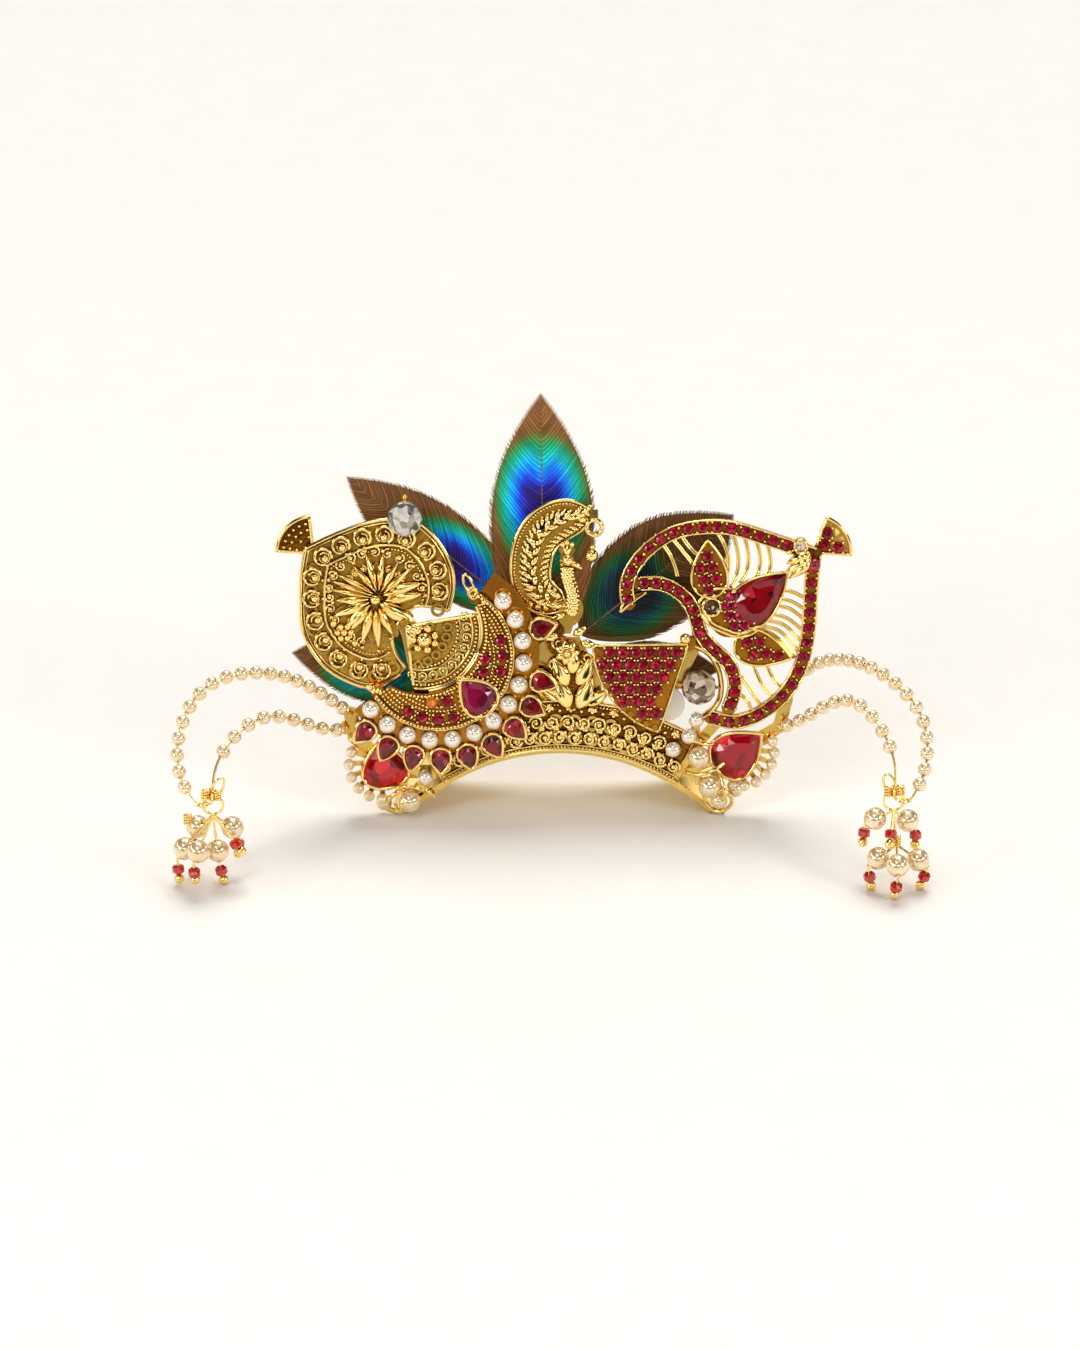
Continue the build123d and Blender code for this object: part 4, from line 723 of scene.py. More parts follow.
crescent_skins = [
    skin(strap(arc(FAN_ROUND, HOLLOW_R - 0.3, -84, 26, 60), 0.55, CRESCENT_TOP - 3.6, CRESCENT_TOP - 1.4)),
    beads(field, CRESCENT_TOP + 0.12, 0.43, 4, 8),
    beads(even(hollow_line, 1.05), CRESCENT_TOP + 0.3, 0.52),
    beads(even(arc(CRESCENT_AT, CRESCENT_R - 0.5, *RIM_ENDS, 200), 1.05), CRESCENT_TOP + 0.9, 0.5),
    prongs(crescent_stones, CRESCENT_TOP + 0.5, 1.9, 0.44),
    wire(arc(CRESCENT_AT, CRESCENT_R + 0.1, *RIM_ENDS, 90), CRESCENT_TOP + 0.4, 0.3),
]
piece("crescent_beading", crescent_skins, relief_gold)
cut_stones("crescent_cut_stones", np.delete(crescent_stones, ORANGE, 0), 1.6, CRESCENT_TOP + 0.3, ruby,
           "crescent_rubies")
orange = beads(crescent_stones[ORANGE], CRESCENT_TOP + 0.2, 1.62, 10, 16)
piece("orange_cabochon", [orange], orange_stone)
piece("corner_cabochon", [beads((73.2, 72.4), PLATE_TOP + 0.6, 1.9, 10, 16)], ruby)

bezel_skins = [
    wire(turned(pear(7.6, 5.8), drop_spots, drop_angles), DROP_TOP + 0.25, 0.5, closed=True),
    wire(turned(pear(7.2, 5.4), drop_spots, drop_angles), DROP_TOP - 0.4, 0.7, closed=True),
    wire(turned(pear(12.4, 10.4, 40), PEAR_AT, PEAR_TURN), CRESCENT_TOP + 1.0, 0.62, 8, closed=True),
    beads(turned(pear(14.2, 12.2, 34), PEAR_AT, PEAR_TURN)[0], CRESCENT_TOP + 0.5, 0.4),
    wire(turned(pear(13.9, 13.3, 40), LEFT_END_AT, LEFT_END_TURN), END_LEVEL, 0.62, 8, closed=True),
    wire(turned(pear(16.4, 13.8, 40), RIGHT_END_AT, RIGHT_END_TURN), END_LEVEL, 0.62, 8, closed=True),
]
piece("stone_bezels", bezel_skins, gold)
drop_skins = [skin(cut_pear(7.2, 5.5, spot, angle, DROP_TOP + 0.1, 1.4))
              for spot, angle in zip(drop_spots, drop_angles)]
piece("drop_cut_stones", drop_skins, drop_ruby, ("drop_stones",), False)
for name, size, spot, angle, level, look in (
        ("crescent_stone", (12.0, 10.0), PEAR_AT, PEAR_TURN, CRESCENT_TOP + 0.6, plum_ruby),
        ("left_end_stone", (13.4, 12.8), LEFT_END_AT, LEFT_END_TURN, 1.5, large_ruby),
        ("right_end_stone", (15.9, 13.3), RIGHT_END_AT, RIGHT_END_TURN, 1.5, end_ruby)):
    piece(name + "_cut", [skin(cut_pear(*size, spot, angle, level, 2.4))], look, (name,), False)

finial_base = CRESCENT_AT + (CRESCENT_R - 1.4) * heading(58)
loop_turn = np.linspace(-0.82 * math.pi, 0.82 * math.pi, 28)
finial = np.stack((1.1 * np.sin(loop_turn), 4.2 + 3.0 * np.cos(loop_turn)), -1)
finial_skins = [wire(turned(finial, finial_base, 24)[0], CRESCENT_TOP + 0.2, 0.42)]
for reach in (0.0, 0.9, 1.8):
    wrap = turned(arc((0, reach), 1.25, 0, 315, 8), finial_base, 24)[0]
    finial_skins.append(wire(wrap, CRESCENT_TOP - 0.6 + 0.3 * reach, 0.42, closed=True))
finial_skins.append(beads(finial_base + np.array((2.6, -1.2)), CRESCENT_TOP, 1.0, 6, 10))
knot_at = CRESCENT_AT + (CRESCENT_R - 1.2) * heading(-149)
for shift in (-1.1, 0.0, 1.1):
    band = np.linspace(knot_at + np.array((-1.5 + shift, 1.6)), knot_at + np.array((0.9 + shift, -1.2)), 9)
    rise = 1.5 * np.sin(np.linspace(0, math.pi, 9))
    path = np.concatenate((band, (CRESCENT_TOP - 1.6 + rise)[:, None]), -1)
    finial_skins.append(skin(tube(path, 0.5, 8, lift=(1, 1, 0.2))))
finial_skins.append(beads(knot_at + np.array((-2.0, 1.2)), CRESCENT_TOP - 0.6, 1.1, 6, 10))
piece("crescent_finial", finial_skins, gold)

# The peacock: tail edges, plume leaves, neck scales and beads
TAIL_OUTER = spread((-11.8, 57.1), 23.0, 33.6,
                    ((1, 0.91), (0.72, 1), (0.48, 0.98), (0.23, 0.87), (0.05, 0.66), (0, 0.44), (0.05, 0.23),
                     (0.2, 0.1), (0.35, 0.03), (0.6, 0)))
TAIL_INNER = spread((-0.6, 57.1), 11.8, 30.5,
                    ((0.23, 0), (0.33, 0.12), (0.26, 0.24), (0.02, 0.35), (0, 0.49), (0.1, 0.63),
                     (0.45, 0.75), (0.81, 0.85), (1, 1)))
NECK = ((5.0, 59.0), (5.6, 64.5), (4.2, 69.0), (4.0, 73.6))
tail_outer, tail_inner, neck = smooth(TAIL_OUTER, 80), smooth(TAIL_INNER, 80), smooth(NECK, 40)
tail_middle = 0.5 * (tail_outer[::-1] + tail_inner)
peacock_skins = [
    wire(tail_outer, PLATE_TOP + 0.1, 0.45),
    wire(tail_inner, PLATE_TOP + 0.1, 0.42),
    beads(even(beside(tail_outer, 1.0), 0.95), PLATE_TOP + 0.1, 0.36),
    beads(even(beside(tail_inner, 0.9)[10:], 0.95), PLATE_TOP + 0.1, 0.34),
]
for edge, turn in ((beside(tail_outer, 2.7), 52), (beside(tail_inner, 2.5)[12:], -52)):
    spots = even(edge, 1.75)
    angle = bearing(np.gradient(spots, axis=0)) + turn
    peacock_skins.append(leafage(spots, PLATE_TOP + 0.1, angle, 2.7, 1.15, 0.95, vein=0.3, rows=7, sides=8))
    peacock_skins.append(beads(spots, PLATE_TOP + 0.2, 0.42))
plume_feet = tail_middle[12:76:5]
plume_angle = bearing(np.gradient(tail_middle, axis=0)[12:76:5])
for turn, shift in ((34, -0.4), (-34, 0.4)):
    peacock_skins.append(leafage(plume_feet + np.array((0, shift)), PLATE_TOP + 0.3, plume_angle + turn, 3.8,
                                 1.5, 1.2, rows=7, sides=8))
peacock_skins.append(beads(plume_feet, PLATE_TOP + 0.5, 0.5))
band_line = smooth(((-9.4, 62.0), (-5.0, 58.9), (0.6, 58.6), (4.0, 60.0)), 30)
peacock_skins += [wire(beside(band_line, shift), PLATE_TOP + 0.4, 0.36) for shift in (0, 2.9)]
for shift in (-0.8, 0.8):
    peacock_skins.append(beads(beside(neck, shift * 1.9)[::3], BODY_TOP + 0.1, 0.48))
    scale_row = beside(neck, shift)[3:38:4]
    peacock_skins.append(leafage(scale_row, BODY_TOP + 0.1, -92, 2.6, 1.5, 0.7, rows=7, sides=8))
peacock_skins += [
    leafage(neck[3:38:4], BODY_TOP + 0.4, -92, 2.8, 1.6, 0.7, rows=7, sides=8),
    beads((4.2, 73.8), BODY_TOP + 0.1, 1.75, 8, 12),
    beads((4.9, 74.2), BODY_TOP + 1.6, 0.45),
    leafage((5.0, 73.6), BODY_TOP + 0.2, -36, 4.4, 1.7, 0.9, vein=0.0),
    leafage(((4.0, 75.0), (4.0, 75.0), (4.0, 75.0)), BODY_TOP, (112, 90, 66), 3.4, 0.9, 0.6),
    beads(((2.7, 78.2), (4.0, 78.7), (5.4, 78.2)), BODY_TOP, 0.8, 6, 10),
    leafage(((2.4, 63.0), (2.8, 60.6), (3.6, 58.4)), BODY_TOP + 0.3, (150, 175, 200), 5.0, 2.0, 0.9),
    wire(arc((11.6, 83.2), 2.2, *ROUND), 2.9, 0.55, 8, closed=True),
    beads(((10.9, 75.2), (11.1, 77.6)), 2.6, (1.9, 0.8), 8, 12),
]
piece("peacock_relief", peacock_skins, relief_gold)

# The leaves and the flower above the middle of the band; each leaf: across, up, length, width and turn
LEAVES = np.array((
    (4.6, 31.0, 10.0, 5.2, 108), (6.8, 31.0, 10.4, 5.2, 60), (4.2, 37.4, 9.6, 4.8, 112),
    (6.6, 37.8, 9.8, 4.8, 56), (5.4, 41.0, 8.2, 4.2, 84), (3.6, 33.4, 8.4, 4.0, 150),
    (8.8, 32.4, 8.6, 4.0, 24),
))
FLOWER_AT = np.array((4.0, 47.4))
leaf_long, leaf_wide, leaf_turn = LEAVES[:, 2:].T
leaf_skins = [
    leafage(LEAVES[:, :2], LEAF_TOP, leaf_turn, leaf_long, leaf_wide, 2.0, vein=0.7, bow=0.08, rows=15,
            sides=16),
    leafage(np.repeat(FLOWER_AT[None], 7, 0), LEAF_TOP + 0.9, np.linspace(0, 309, 7), 3.8, 2.6, 1.1),
    beads(FLOWER_AT, LEAF_TOP + 1.9, 1.2, 8, 12),
    beads(arc(FLOWER_AT, 1.5, 0, 315, 8), LEAF_TOP + 1.8, 0.4),
    leafage(((1.6, 52.4), (5.6, 52.2), (7.6, 50.0)), LEAF_TOP - 0.4, (200, 30, -10), 4.8, 2.6, 1.2),
    curls(((0.4, 43.6), (9.6, 45.6), (1.4, 49.8)), LEAF_TOP, (20, 200, 90), 1.9, 0.42),
]
piece("leaf_cluster", leaf_skins, relief_gold)

# The band: rim wires along the arch, rolled scrolls and leaves in rows, and a dark sheet behind them, painted
# shade between the scrolls
ARCH_AT = np.array((ARCH_X, -41.7))
rim = [wire(arc(ARCH_AT, radius, 57.4, 122.6, 90), level, thick, 8)
       for radius, level, thick in ((60.6, 1.35, 0.55), (62.0, 1.15, 0.26), (74.6, 1.0, 0.45))]
rim += [beads(even(arc(ARCH_AT, radius, 58.5, 121.5, 160), 1.0), 1.2, 0.4) for radius in (61.3, 73.6)]
low_row = arc(ARCH_AT, 64.3, 120, 60, 17)
high_row = arc(ARCH_AT, 68.7, 118, 62, 16)
top_row = arc(ARCH_AT, 72.0, 118, 62, 24)
between = arc(ARCH_AT, 66.4, 118.2, 61.8, 33)
hands = np.resize((1.0, -1.0), 33)
low_turn, high_turn, top_turn, between_turn = (bearing(row - ARCH_AT)
                                               for row in (low_row, high_row, top_row, between))
rim += [
    curls(low_row, WALL_TOP + 0.8, low_turn - 100, 1.95, 0.5, 1.25, hands[:17], 0.55),
    curls(high_row, WALL_TOP + 0.8, high_turn + 80, 2.05, 0.5, 1.3, -hands[:16], 0.6),
    beads(low_row, WALL_TOP + 0.9, 0.8, 6, 10),
    beads(high_row, WALL_TOP + 0.9, 0.75, 6, 10),
    leafage(between, WALL_TOP + 0.7, between_turn + 55 * hands, 3.0, 1.5, 1.2, bow=0.15),
    leafage(between, WALL_TOP + 0.7, between_turn + 180 + 40 * hands, 2.6, 1.3, 1.1, bow=-0.12),
    leafage(top_row, WALL_TOP + 0.4, top_turn - 50 * hands[:24], 3.2, 1.6, 1.1, bow=0.1),
    beads(0.5 * (top_row[1:] + top_row[:-1]), WALL_TOP + 0.6, 0.6),
]
piece("band_scrolls", rim, relief_gold)
# A dark gold sheet just above the wall, behind the scrolls: painted shade in the gaps between them
ground_share = np.linspace(0, 1, 90)[:, None]
ground_turn = TAU * np.arange(16) / 16
ground_radius = 68.1 + 5.9 * np.cos(ground_turn) * np.minimum(1, 40 * np.sin(math.pi * ground_share))
ground_angle = np.radians(58.6 + 62.8 * ground_share)
shade_sheet = np.stack((ARCH_AT[0] + ground_radius * np.cos(ground_angle),
                   ARCH_AT[1] + ground_radius * np.sin(ground_angle),
                   WALL_TOP + 0.06 + 0.06 * np.sin(ground_turn) + 0 * ground_radius), -1)
shade_sheet[[0, -1], :, 2] = WALL_TOP + 0.06
piece("band_shade_sheet", [skin(shade_sheet)], dark_gold)

# The right leaf frame: its flat body, cut stones with prongs, edge wires, ribs, calyx, claws and loop
RIGHT_BORDER = spread((20.7, 61.2), 52.6, 21.8,
                      ((0.01, 0), (0, 0.24), (0.05, 0.53), (0.13, 0.75), (0.24, 0.92), (0.39, 1),
                       (0.55, 0.99), (0.71, 0.88), (0.87, 0.75), (1, 0.64)))
RIGHT_SIDE = spread((44.5, 27.0), 28.8, 48.3,
                    ((1, 1), (0.97, 0.79), (0.95, 0.55), (0.89, 0.36), (0.74, 0.18), (0.51, 0.06), (0.25, 0),
                     (0, 0.03)))
RIGHT_CURVE = spread((24.6, 29.8), 26.6, 37.1,
                     ((0, 1), (0.2, 1), (0.41, 0.93), (0.56, 0.79), (0.65, 0.6), (0.81, 0.47), (0.95, 0.36),
                      (1, 0.17), (0.94, 0.03)))
RIGHT_LOOP = spread((39.5, 28.1), 7.8, 21.0,
                    ((0, 1), (0.43, 0.92), (0.79, 0.77), (1, 0.52), (1, 0.32), (0.79, 0.14), (0.32, 0)))
EYE_AT = np.array((44.6, 60.2))
TIP_STONE_AT = np.array((69.4, 77.6))
HIGH_LEAF = (pear(16.4, 10.2, 36), (43.8, 71.2), 93)
LOW_LEAF = (pear(16.6, 10.2, 36), (59.2, 47.8), -17)
BUD = (pear(20.4, 12.8, 40), (58.4, 63.2), 43)
HOOK = np.array(((19.4, 63.0), (18.8, 58.6), (22.6, 61.2), (26.2, 64.6)))
RIBS = (
    ((46.0, 81.4), (49.0, 75.3), (49.2, 71.3), (48.2, 66.7)),
    ((50.4, 81.0), (52.1, 73.6), (51.4, 68.9), (49.8, 65.6)),
    ((53.4, 80.6), (54.9, 73.4), (54.2, 70.1), (52.4, 67.0)),
    ((56.7, 79.6), (58.2, 73.6), (57.8, 70.7), (56.6, 68.1)),
    ((59.8, 78.8), (61.0, 73.8), (60.9, 71.3), (59.9, 69.0)), ((30.2, 78.8), (33.6, 73.6), (35.0, 68.7)),
    ((33.0, 80.2), (37.0, 75.3), (39.2, 72.5)), ((35.6, 81.2), (38.6, 76.9), (40.6, 75.1)),
    ((64.2, 64.9), (66.9, 64.4), (70.6, 62.6)), ((62.6, 62.5), (66.4, 61.8), (70.6, 59.3)),
    ((61.2, 60.4), (65.8, 59.8), (70.5, 56.3)), ((60.0, 57.9), (64.7, 57.2), (70.3, 53.1)),
    ((58.7, 56.1), (64.1, 55.2), (70.0, 49.8)), ((57.6, 54.7), (63.0, 53.4), (69.1, 47.0)),
    ((55.2, 54.1), (60.8, 52.7), (64.9, 49.4), (68.0, 45.4)), ((53.1, 40.0), (55.7, 36.2), (59.4, 30.4)),
    ((56.7, 42.9), (58.5, 38.5), (63.0, 33.2)), ((60.4, 42.9), (61.9, 39.7), (66.3, 35.6)),
    ((52.4, 35.0), (54.9, 32.8), (56.0, 29.8)),
)
CRYSTAL_WIRE = ((34.8, 37.2, 2.4), (41.0, 37.2, 2.4), (47.2, 37.2, 2.4), (47.2, 37.2, 0.4))
LEAF_SPOTS = ((43.2, 74.6), (41.2, 71.2), (44.6, 71.4), (42.4, 67.9), (45.8, 68.2), (43.8, 65.1),
              (54.6, 49.8), (58.2, 50.1), (56.4, 46.5), (60.0, 46.7), (63.4, 46.1))
BUD_SPOTS = ((49.6, 63.2), (52.5, 63.5), (55.2, 62.2), (48.7, 60.4), (51.4, 60.6), (54.2, 59.6), (49.6, 57.6),
             (52.5, 57.6), (55.3, 56.9), (51.0, 54.9), (53.9, 54.9))
channels = [smooth(channel, 90) for channel in (RIGHT_BORDER, RIGHT_SIDE, RIGHT_CURVE)]
channel_spots = np.concatenate((smooth(RIGHT_BORDER, 15, 0.02, 0.88), smooth(RIGHT_SIDE, 15, 0.06, 0.98),
                                smooth(RIGHT_CURVE, 15, 0.02, 0.97)))
frame_stones = stone_middles("frame_rubies", channel_spots)
ends = np.concatenate([channel[[0, -1]] for channel in channels])
frame_body = [skin(strap(channel, 2.0, PLATE_LEVEL, PLATE_TOP)) for channel in channels]
frame_body += [skin(plate(arc(end, 2.0, *ROUND), PLATE_LEVEL, PLATE_TOP)) for end in ends]
frame_body += [
    skin(strap(smooth(RIGHT_LOOP, 50), 0.75, PLATE_LEVEL, PLATE_TOP)),
    skin(plate(HOOK, PLATE_LEVEL, PLATE_TOP)),
    *(skin(plate(turned(*motif)[0], PLATE_LEVEL, PLATE_TOP)) for motif in (HIGH_LEAF, LOW_LEAF, BUD)),
    skin(plate(turned(pear(17.0, 14.0, 36), (51.6, 59.2), 18)[0], PLATE_LEVEL, PLATE_TOP)),
    *(skin(plate(arc(spot, radius, *ROUND), PLATE_LEVEL, PLATE_TOP))
      for spot, radius in ((EYE_AT, 3.1), (TIP_STONE_AT, 2.2))),
    *(skin(strap(np.linspace(foot, head, 12), half, PLATE_LEVEL, PLATE_TOP))
      for foot, head, half in (((46.0, 65.5), (43.6, 61.0), 1.6), ((56.0, 50.5), (54.0, 56.0), 1.8))),
    skin(tube(CRYSTAL_WIRE, 0.45, lift=(0, 1, 0))),
]
piece("right_frame_body", frame_body, frame_shade_gold, ("right_leaf_frame",), False)
hook = smooth(((21.4, 63.4), (19.8, 61.2), (19.0, 58.8), (20.6, 60.2), (23.6, 62.6), (26.2, 64.4)), 30)
frame_skins = [
    *(wire(beside(middle, shift), PLATE_TOP + 0.2, 0.32) for middle in channels for shift in (-1.8, 1.8)),
    wire(smooth(RIGHT_LOOP, 50), PLATE_TOP + 0.1, 0.5, 8),
    wire(hook, PLATE_TOP + 0.2, 0.4),
]
for rib in RIBS:
    line = smooth(rib, 20)
    frame_skins += [wire(beside(line, shift), 0.9, 0.3) for shift in (-0.3, 0.3)]
for spots, reach in ((frame_stones, 1.95), (LEAF_SPOTS, 1.9), (BUD_SPOTS, 1.8)):
    frame_skins.append(prongs(np.asarray(spots), PLATE_TOP + 0.55, reach, 0.4))
for motif, rise in ((HIGH_LEAF, 0.15), (LOW_LEAF, 0.15), (BUD, 0.2)):
    frame_skins.append(wire(turned(*motif)[0], PLATE_TOP + rise, 0.42, closed=True))
calyx = smooth(((41.4, 58.6), (43.6, 55.4), (48.0, 52.9), (53.4, 51.6), (57.4, 53.4)), 30)
calyx_top = smooth(((40.8, 61.4), (43.0, 64.0), (46.4, 65.6), (49.0, 65.4)), 20)
frame_skins += [
    wire(arc(EYE_AT, 2.5, *ROUND), PLATE_TOP + 0.3, 0.5, 8, closed=True),
    wire(arc(TIP_STONE_AT, 1.8, *ROUND), PLATE_TOP + 0.4, 0.42, 8, closed=True),
    beads(((67.6, 73.6), (66.2, 76.0), (71.4, 75.4)), PLATE_TOP + 0.7, (1.1, 0.8, 0.9), 6, 10),
    leafage(((72.8, 75.0), (72.6, 74.4), (72.0, 75.6)), PLATE_TOP + 0.9, (210, 230, 196),
            (10.0, 9.0, 7.4), 3.2, 2.2, vein=0.0, bow=(0.05, -0.14, 0.12)),
    *(wire(line, PLATE_TOP + 0.2, 0.5, 8) for line in (calyx, beside(calyx, 1.1), calyx_top)),
]
piece("right_frame_wires", frame_skins, gold)
cut_stones("frame_cut_stones", frame_stones, 1.55, PLATE_TOP + 0.25, ruby, "frame_rubies")
cut_stones("leaf_cut_stones", LEAF_SPOTS, 1.5, PLATE_TOP + 0.25, ruby, "leaf_rubies")
cut_stones("bud_cut_stones", BUD_SPOTS, 1.4, PLATE_TOP + 0.6, pink_ruby, "bud_rubies")
piece("bud_pear_stone", [skin(cut_pear(19.0, 11.4, BUD[1], BUD[2], PLATE_TOP + 0.1, 2.2))], bud_ruby,
      ("bud_stone",), False)

# The right tail fan and the two small fans: edge wires, fields, cut stones and their prongs
RIGHT_FAN_AT = np.array((38.0, 50.0))
SMALL_LEFT_AT = (-67.2, 75.4)
SMALL_RIGHT_AT = (73.2, 75.4)
right_round = arc(RIGHT_FAN_AT, 26.6, 181, 252, 50)
small_left = arc(SMALL_LEFT_AT, 10.2, 96, 178, 20)
small_right = arc(SMALL_RIGHT_AT, 10.4, -4, 70, 20)
row, column = np.meshgrid(np.arange(7), np.arange(8), indexing="ij")
packed = np.stack((3.3 + 3.75 * column + 1.875 * (row % 2), 2.5 + 3.5 * row), -1)
fan_stones = RIGHT_FAN_AT - packed.reshape(-1, 2)
from_apex = fan_stones - RIGHT_FAN_AT
apex_reach = np.linalg.norm(from_apex, axis=1)
apex_angle = np.arctan2(from_apex[:, 1], from_apex[:, 0]) % TAU
inside = (apex_reach < 24.9) & (apex_reach * np.sin(math.radians(252) - apex_angle) > 2.0)
fan_stones = fan_stones[inside & (apex_reach * np.sin(apex_angle - math.radians(181)) > 1.6)]
small_fan_places = SMALL_RIGHT_AT + 10.8 * np.array(((0.62,), (0.34,), (0.64,))) * heading((55.9, 36.0, 11.5))
small_fan_stones = stone_middles("small_fan_rubies", small_fan_places)
corner_skins = [
    wire(right_round, RIGHT_FAN_TOP + 0.2, 0.42),
    wire(np.linspace(RIGHT_FAN_AT, right_round[0], 16), RIGHT_FAN_TOP + 0.2, 0.42),
    wire(np.linspace(RIGHT_FAN_AT, right_round[-1], 16), RIGHT_FAN_TOP + 0.2, 0.42),
    beads((37.2, 51.6), RIGHT_FAN_TOP + 0.6, 1.6, 8, 12),
    prongs(fan_stones, RIGHT_FAN_TOP + 0.6, 2.0, 0.44),
    prongs(small_fan_stones, SMALL_FAN_TOP + 0.5, 1.95, 0.42),
]
for apex, round_edge in ((SMALL_LEFT_AT, small_left), (SMALL_RIGHT_AT, small_right)):
    edge = np.concatenate((np.linspace(apex, round_edge[0], 8), round_edge,
                           np.linspace(round_edge[-1], apex, 8)))
    corner_skins.append(wire(edge[1:-1], SMALL_FAN_TOP + 0.2, 0.5))
field_dots = np.concatenate([arc(SMALL_LEFT_AT, radius, 104, 170, count)
                             for radius, count in ((4.6, 3), (6.6, 5), (8.4, 6))])
corner_skins.append(beads(field_dots, SMALL_FAN_TOP + 0.25, 0.5))
piece("fan_edges", corner_skins, gold)
cut_stones("tail_fan_cut_stones", fan_stones, 1.68, RIGHT_FAN_TOP + 0.45, ruby, "tail_fan_rubies")
fan_outline = np.concatenate((RIGHT_FAN_AT[None], arc(RIGHT_FAN_AT, 26.5, 181, 252, 40)))
fan_plate = plate(fan_outline, RIGHT_FAN_TOP - 0.3, RIGHT_FAN_TOP + 0.2)
piece("tail_fan_field", [skin(fan_plate)], frame_shade_gold, shaded=False)
cut_stones("small_fan_cut_stones", small_fan_stones, 1.6, SMALL_FAN_TOP + 0.25, ruby, "small_fan_rubies")
fan_share = np.linspace(0.02, 0.97, 14)[:, None]
fan_turn = TAU * np.arange(20) / 20


def fan_field(apex, radius, middle, half, level):
    """A thin flat fan from its apex: a closed section that opens with the radius, rounded by a sine."""
    angle = np.radians(middle + half * np.cos(fan_turn) + 0 * fan_share)
    out = level + 0.12 * np.sin(fan_turn) * np.sin(math.pi * fan_share)
    reach = radius * fan_share
    return np.stack((apex[0] + reach * np.cos(angle), apex[1] + reach * np.sin(angle), out), -1)


small_fields = [skin(fan_field(*field)) for field in ((SMALL_LEFT_AT, 10.2, 137, 40, SMALL_FAN_TOP + 0.02),
                                                      (SMALL_RIGHT_AT, 10.4, 33, 36, SMALL_FAN_TOP - 0.7))]
piece("left_small_fan_field", small_fields[:1], dark_gold)
piece("right_small_fan_field", small_fields[1:], gold)

# Gold wire turned round the feet, over the pearls and round the eyelets
WIRE_TURNS = (
    (((-44.6, 3.4, 2.6), (-43.4, 1.6, 4.8), (-42.6, 3.4, 6.4), (-42.2, 6.2, 6.0)), 0.5),
    (((-43.6, 7.2, 3.0), (-42.0, 9.0, 4.8), (-38.6, 8.6, 5.0), (-35.4, 6.6, 2.4)), 0.5),
    (((-36.4, 9.4, 2.0), (-35.2, 7.4, 4.0), (-33.4, 5.0, 2.4)), 0.55),
    (((37.6, 21.6, 3.0), (39.6, 22.2, 4.6), (42.6, 21.4, 4.8), (45.4, 21.0, 3.0)), 0.55),
    (((37.8, 12.6, 2.4), (41.0, 12.4, 4.6), (44.6, 13.6, 5.4), (48.6, 15.6, 3.4)), 0.55),
    (((46.6, 4.4, 2.4), (48.4, 5.6, 5.4), (48.4, 8.6, 6.2), (47.2, 12.0, 4.6)), 0.5),
)
FOOT_CLAWS = (
    (((43.6, -0.4, 8.6), (46.6, -2.6, 9.2), (50.0, -2.8, 7.2), (50.4, -1.8, 3.6), (48.0, -1.0, 1.0)), 0.62),
    (((42.6, -0.4, 6.2), (43.8, -1.4, 3.6), (45.6, -1.4, 1.6), (48.6, -0.6, 0.9)), 0.6),
    (((-40.6, -0.4, 8.4), (-43.6, -2.2, 8.0), (-46.4, -2.0, 5.0), (-46.2, -1.4, 2.4), (-43.4, -0.8, 0.9)),
     0.62),
    (((-40.0, -0.6, 3.4), (-41.6, -1.4, 1.8), (-44.6, -1.0, 1.0), (-47.2, 0.2, 1.4)), 0.6),
)
turn_skins = [skin(tube(smooth(points, 24), size, 8, lift=(0.3, 0.2, 1))) for points, size in WIRE_TURNS]
turn_skins += [skin(tube(smooth(points, 24), size, 8, lift=(0.3, 1, 0.2)), to_frame=standing)
               for points, size in FOOT_CLAWS]
turn_skins.append(beads(((-58.6, 30.4), (-59.2, 25.4), (-56.4, 22.0)), 1.2, 1.25, 6, 10))
piece("wire_turns", turn_skins, gold)
foot_beads = np.array(((47.0, -1.7, 5.0), (51.6, 0.2, 7.6), (-47.8, -0.2, 3.6)))
piece("foot_corner_pearls", [skin(balls(foot_beads, (2.5, 2.4, 2.3), 12, 20), to_frame=standing)],
      string_pearl)

# Tassels: wire loops and wrapped necks
Tassel = namedtuple("Tassel", "ring loops wraps")
TASSELS = (
    Tassel((-93.4, -42.0, 24.4), (((1.2, 0.2, 4.8), 3.6, 1.5, -24), ((-1.6, 0.0, 2.4), 2.2, 1.3, 16)),
           ((-1.8, 0, 3.2), (1.2, 0, 3.0), (-7.0, -0.6, -4.2))),
    Tassel((93.5, -42.0, 25.6), (((-1.2, 0.0, 4.8), 3.6, 1.5, 20), ((1.4, 0.2, 2.4), 2.2, 1.3, -14)),
           ((-1.6, 0, 3.0), (1.4, 0, 3.2), (1.0, -2.0, -11.4))),
)
tassel_skins = []
for tassel in TASSELS:
    ring = np.array(tassel.ring)
    for shift, tall, wide, lean in tassel.loops:
        turn = TAU * np.arange(24) / 24
        loop = np.stack((wide * np.cos(turn), 0.4 * np.sin(2 * turn), tall * np.sin(turn)), -1)
        angle = math.radians(lean)
        across = loop[:, 0] * math.cos(angle) - loop[:, 2] * math.sin(angle)
        height = loop[:, 0] * math.sin(angle) + loop[:, 2] * math.cos(angle)
        path = ring + np.array(shift) + np.stack((across, loop[:, 1], height), -1)
        tassel_skins.append(skin(tube(path, 0.36, 6, lift=(0, 1, 0), closed=True), True, standing))
    for shift in tassel.wraps:
        share = np.linspace(0, 1, 60)
        wind = TAU * 4 * share
        winding = np.stack((0.95 * np.cos(wind), 0.95 * np.sin(wind), 3.2 * (share - 0.5)), -1)
        path = ring + np.array(shift) + winding
        tassel_skins.append(skin(tube(path, 0.3, 6), False, standing))
piece("tassel_wires", tassel_skins, gold)

